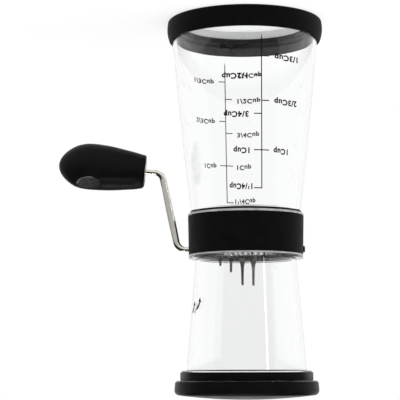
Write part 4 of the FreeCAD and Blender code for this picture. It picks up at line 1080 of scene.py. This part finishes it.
def scaleArt(topUp, topWordsDown, wordsUp, capHeight):
    at = scale
    marks = [(at["lineTop"] + topUp, *at["marks"][0][1:]), *at["marks"][1:]]
    spots, lengths = [], []
    for height, left, right, *rest in marks:
        low, high = at["lineAt"] - at["tick"] * left, at["lineAt"] + at["tick"] * right
        spots.append(((low + high) / 2 * mm, 0.0, height * mm))
        lengths.append((high - low) * mm)
    source = polyline("tickSpots", spots, {"length": lengths})
    pieces = [grow("ticks", "ticks", source, {"Thickness": at["tickWidth"] * mm, "Depth": at["inkDepth"] * mm})]
    for height, text, start, end in [(mark[0], *mark[3:]) for mark in marks] + at["leftOnes"]:
        level = height + wordsUp - (topWordsDown if height == marks[0][0] else 0.0)
        pieces.append(flatWords(text + "Cup", capHeight, start, end, level))
    # the upright line, narrowing to a point at its foot
    top = marks[0][0] + at["tickWidth"] / 2
    count = int((top - at["lineFoot"]) / at["lineStep"])
    line = [(top - n * at["lineStep"], at["lineWidth"] / 2) for n in range(count)]
    line += [(at["lineFoot"] + at["point"], at["lineWidth"] / 2), (at["lineFoot"], 0.05)]
    pieces.append(ribbon("scaleLine", [((at["lineAt"] - half, z), (at["lineAt"] + half, z)) for z, half in line]))
    return joined("scaleArt", pieces)


def wrapSizes(lowHeight, highHeight, lowRadius, highRadius, bulge, facing, ink):
    return {"Low Height": lowHeight * mm, "High Height": highHeight * mm, "Low Radius": lowRadius * mm,
            "High Radius": highRadius * mm, "Bulge": bulge * mm, "Lift": scale["lift"] * mm,
            "Facing": math.radians(facing), "Material": ink}


def makeScales():
    for name, facing, *art in scale["sides"]:
        sizes = wrapSizes(jar["low"], jar["high"], jar["footRadius"], jar["shoulderRadius"], jar["bulge"], facing,
                          inkGrey if facing else inkBlack)
        asPiece(name, grow(name, "wrap", scaleArt(*art), sizes), "jar", smooth=False)


# two plain curved arrows that show which way the crank turns
turnMarks = {"facing": 66.0, "height": 150.4, "spacing": 6.4, "step": 0.8, "radius": 5.6, "from": 146.0, "to": 220.0,
             "lean": -30.0, "width": 1.5, "head": 2.4, "headWide": 3.0, "point": 0.08, "steps": 14}


def curvedArrow(across, height):
    at = turnMarks
    radius, steps = at["radius"], at["steps"]
    tip = at["to"] - math.degrees(at["head"] / radius)
    middle = (across + radius * 0.92, height)

    def rounded(degrees, reach):
        turn = math.radians(degrees + at["lean"])
        return middle[0] + reach * math.cos(turn), middle[1] + reach * math.sin(turn)

    def edges(degrees, half):
        return rounded(degrees, radius - half), rounded(degrees, radius + half)

    pairs = []
    for step in range(steps + 1):
        t = step / steps
        half = at["width"] * (0.35 + 0.65 * math.sin(math.pi * min(1.0, 0.15 + 0.7 * t))) / 2
        pairs.append(edges(at["from"] + (tip - at["from"]) * t, half))
    return ribbon("curvedArrow", pairs + [edges(tip, at["headWide"] / 2), edges(at["to"], at["point"] / 2)])


def makeTurnMarks():
    at = turnMarks
    art = joined("turnArt", [curvedArrow(side * at["spacing"] / 2, at["height"] + side * at["step"])
                             for side in (-1, 1)])
    sizes = wrapSizes(hopper["flangeTop"], hopper["ringBottom"], hopper["wallLow"], hopper["wallHigh"], 0.0,
                      at["facing"], inkBlack)
    asPiece("turnMarks", grow("turnMarks", "wrap", art, sizes), "hopper", smooth=False)


makeScales()
makeTurnMarks()
print("prints made")


# Floor, light and camera

paper = {"radius": 0.34, "near": 0.05, "far": 0.22, "shade": 0.32, "glow": 0.73}


def makeFloor():
    at = paper
    work = bmesh.new()
    bmesh.ops.create_circle(work, cap_ends=True, segments=96, radius=at["radius"])
    floor = linked("floorSheet", settled(work, "floorSheet"))
    material, shader, place = newMaterial("floorPaper", grey(0.5))
    tree = place.id_data
    tree.nodes.remove(shader)
    x, y, _ = separated(place)
    rays = addNode(tree, "ShaderNodeLightPath").outputs
    seen = largest(largest(rays["Is Camera Ray"], rays["Is Glossy Ray"]), rays["Is Transmission Ray"])
    shaded = addNode(tree, "ShaderNodeBsdfDiffuse", {"Color": grey(at["shade"])}).outputs[0]
    glow = fed("ShaderNodeEmission", {"Color": grey(1.0), "Strength": times(seen, at["glow"])})
    white = addNode(tree, "ShaderNodeEmission", {"Color": grey(1.0), "Strength": 1.0}).outputs[0]
    surface = fed("ShaderNodeMixShader", {0: smoothBetween(distance(x, y), at["near"], at["far"]),
                                          1: fed("ShaderNodeAddShader", {0: shaded, 1: glow}), 2: white})
    plug(tree.nodes["Material Output"], {"Surface": surface})
    floor.data.materials.append(material)


# the room as the object sees it: each pair says where a part of it begins and where it is full
studio = {"aim": 8.0, "ambient": 0.8, "glassDark": 0.96, "darkAhead": (67, 62), "darkRise": (0.26, 0.16),
          "front": (-0.3, 0.4), "frontLevel": 0.55, "frontCeiling": 0.02, "backCeiling": 0.36, "ceilingSoft": 0.12,
          "ceilingDark": 0.97, "windowTurn": -39.0, "windowHalf": 1.7, "windowSoft": 0.6, "windowLevel": 9.0,
          "windowFoot": (-0.24, -0.22), "windowTop": (-0.09, -0.13)}


def makeWorld():
    at = studio
    scene.world = bpy.data.worlds.new("studio")
    scene.world.use_nodes = True
    tree = scene.world.node_tree
    tree.nodes.clear()
    x, y, rise = separated(addNode(tree, "ShaderNodeTexCoord").outputs["Generated"])
    flat = distance(x, y)
    rays = addNode(tree, "ShaderNodeLightPath").outputs

    def towards(degrees):
        turn = math.radians(degrees)
        return over(minus(times(x, math.sin(turn)), times(y, math.cos(turn))), flat)

    def within(value, *degrees):
        return smoothBetween(value, *(math.cos(math.radians(one)) for one in degrees))

    facing = towards(at["aim"])
    # what clear walls mirror: white all round, dark in front and low
    dark = times(within(facing, *at["darkAhead"]), smoothBetween(rise, *at["darkRise"]))
    dark = times(dark, smallest(rays["Glossy Depth"], 1.0))
    throughGlass = minus(1.0, times(dark, at["glassDark"]))
    # what polished faces show: white behind, pale low in front, and a dark ceiling that starts lower in front
    front = smoothBetween(facing, *at["front"])
    wall = timesPlus(front, at["frontLevel"] - 1.0, 1.0)
    starts = timesPlus(front, at["frontCeiling"] - at["backCeiling"], at["backCeiling"])
    ceiling = smoothBetween(rise, starts, plus(starts, at["ceilingSoft"]))
    room = times(wall, timesPlus(ceiling, -at["ceilingDark"], 1.0))
    slit = within(towards(at["windowTurn"]), at["windowHalf"] + at["windowSoft"], at["windowHalf"] - at["windowSoft"])
    slit = times(times(slit, smoothBetween(rise, *at["windowFoot"])), smoothBetween(rise, *at["windowTop"]))
    offMetal = timesPlus(slit, at["windowLevel"], room)
    plain = mixed(rays["Is Glossy Ray"], at["ambient"], offMetal, "FLOAT")
    glass = mixed(rays["Is Transmission Ray"], plain, throughGlass, "FLOAT")
    strength = mixed(rays["Is Camera Ray"], glass, 1.0, "FLOAT")
    back = fed("ShaderNodeBackground", {"Color": grey(1.0), "Strength": strength})
    addNode(tree, "ShaderNodeOutputWorld", {"Surface": back})


# name, place, target, size, power, seen in gloss only
lamps = [("softTop", (-0.35, -0.1, 0.75), (0, 0, 0.1), (0.5, 0.5), 2.0, False),
         ("overheadStrip", (0.075, -0.045, 0.73), (0.075, 0, 0.08), (0.3, 0.05), 1.3, True),
         ("overheadSheet", (0.075, 0.21, 0.7), (0.075, 0, 0.08), (0.4, 0.25), 0.7, True)]


def makeLamp(name, place, target, size, power, onlyGloss):
    lamp = bpy.data.lights.new(name, "AREA")
    lamp.shape = "RECTANGLE"
    lamp.size, lamp.size_y = size
    lamp.energy = power
    holder = linked(name, lamp)
    holder.location = place
    holder.rotation_mode = "QUATERNION"
    holder.rotation_quaternion = (Vector(target) - Vector(place)).to_track_quat("-Z", "Y")
    holder.visible_glossy = onlyGloss
    holder.visible_diffuse = not onlyGloss
    holder.visible_transmission = False


view = {"place": (0.0242, -0.7905, 0.18695), "dip": 6.54, "roll": 179.84, "lens": 135.0}


def makeCamera():
    camera = bpy.data.cameras.new("photoView")
    camera.lens = view["lens"]
    camera.sensor_width = 36.0
    camera.sensor_fit = "HORIZONTAL"
    camera.clip_start, camera.clip_end = 0.05, 10.0
    scene.camera = linked("photoView", camera)
    scene.camera.matrix_world = (Matrix.Translation(view["place"])
                                 @ Matrix.Rotation(math.radians(90 - view["dip"]), 4, "X")
                                 @ Matrix.Rotation(math.radians(view["roll"]), 4, "Z"))


makeFloor()
makeWorld()
for lamp in lamps:
    makeLamp(*lamp)
makeCamera()
scene.view_settings.view_transform = "Standard"
print("stage set")
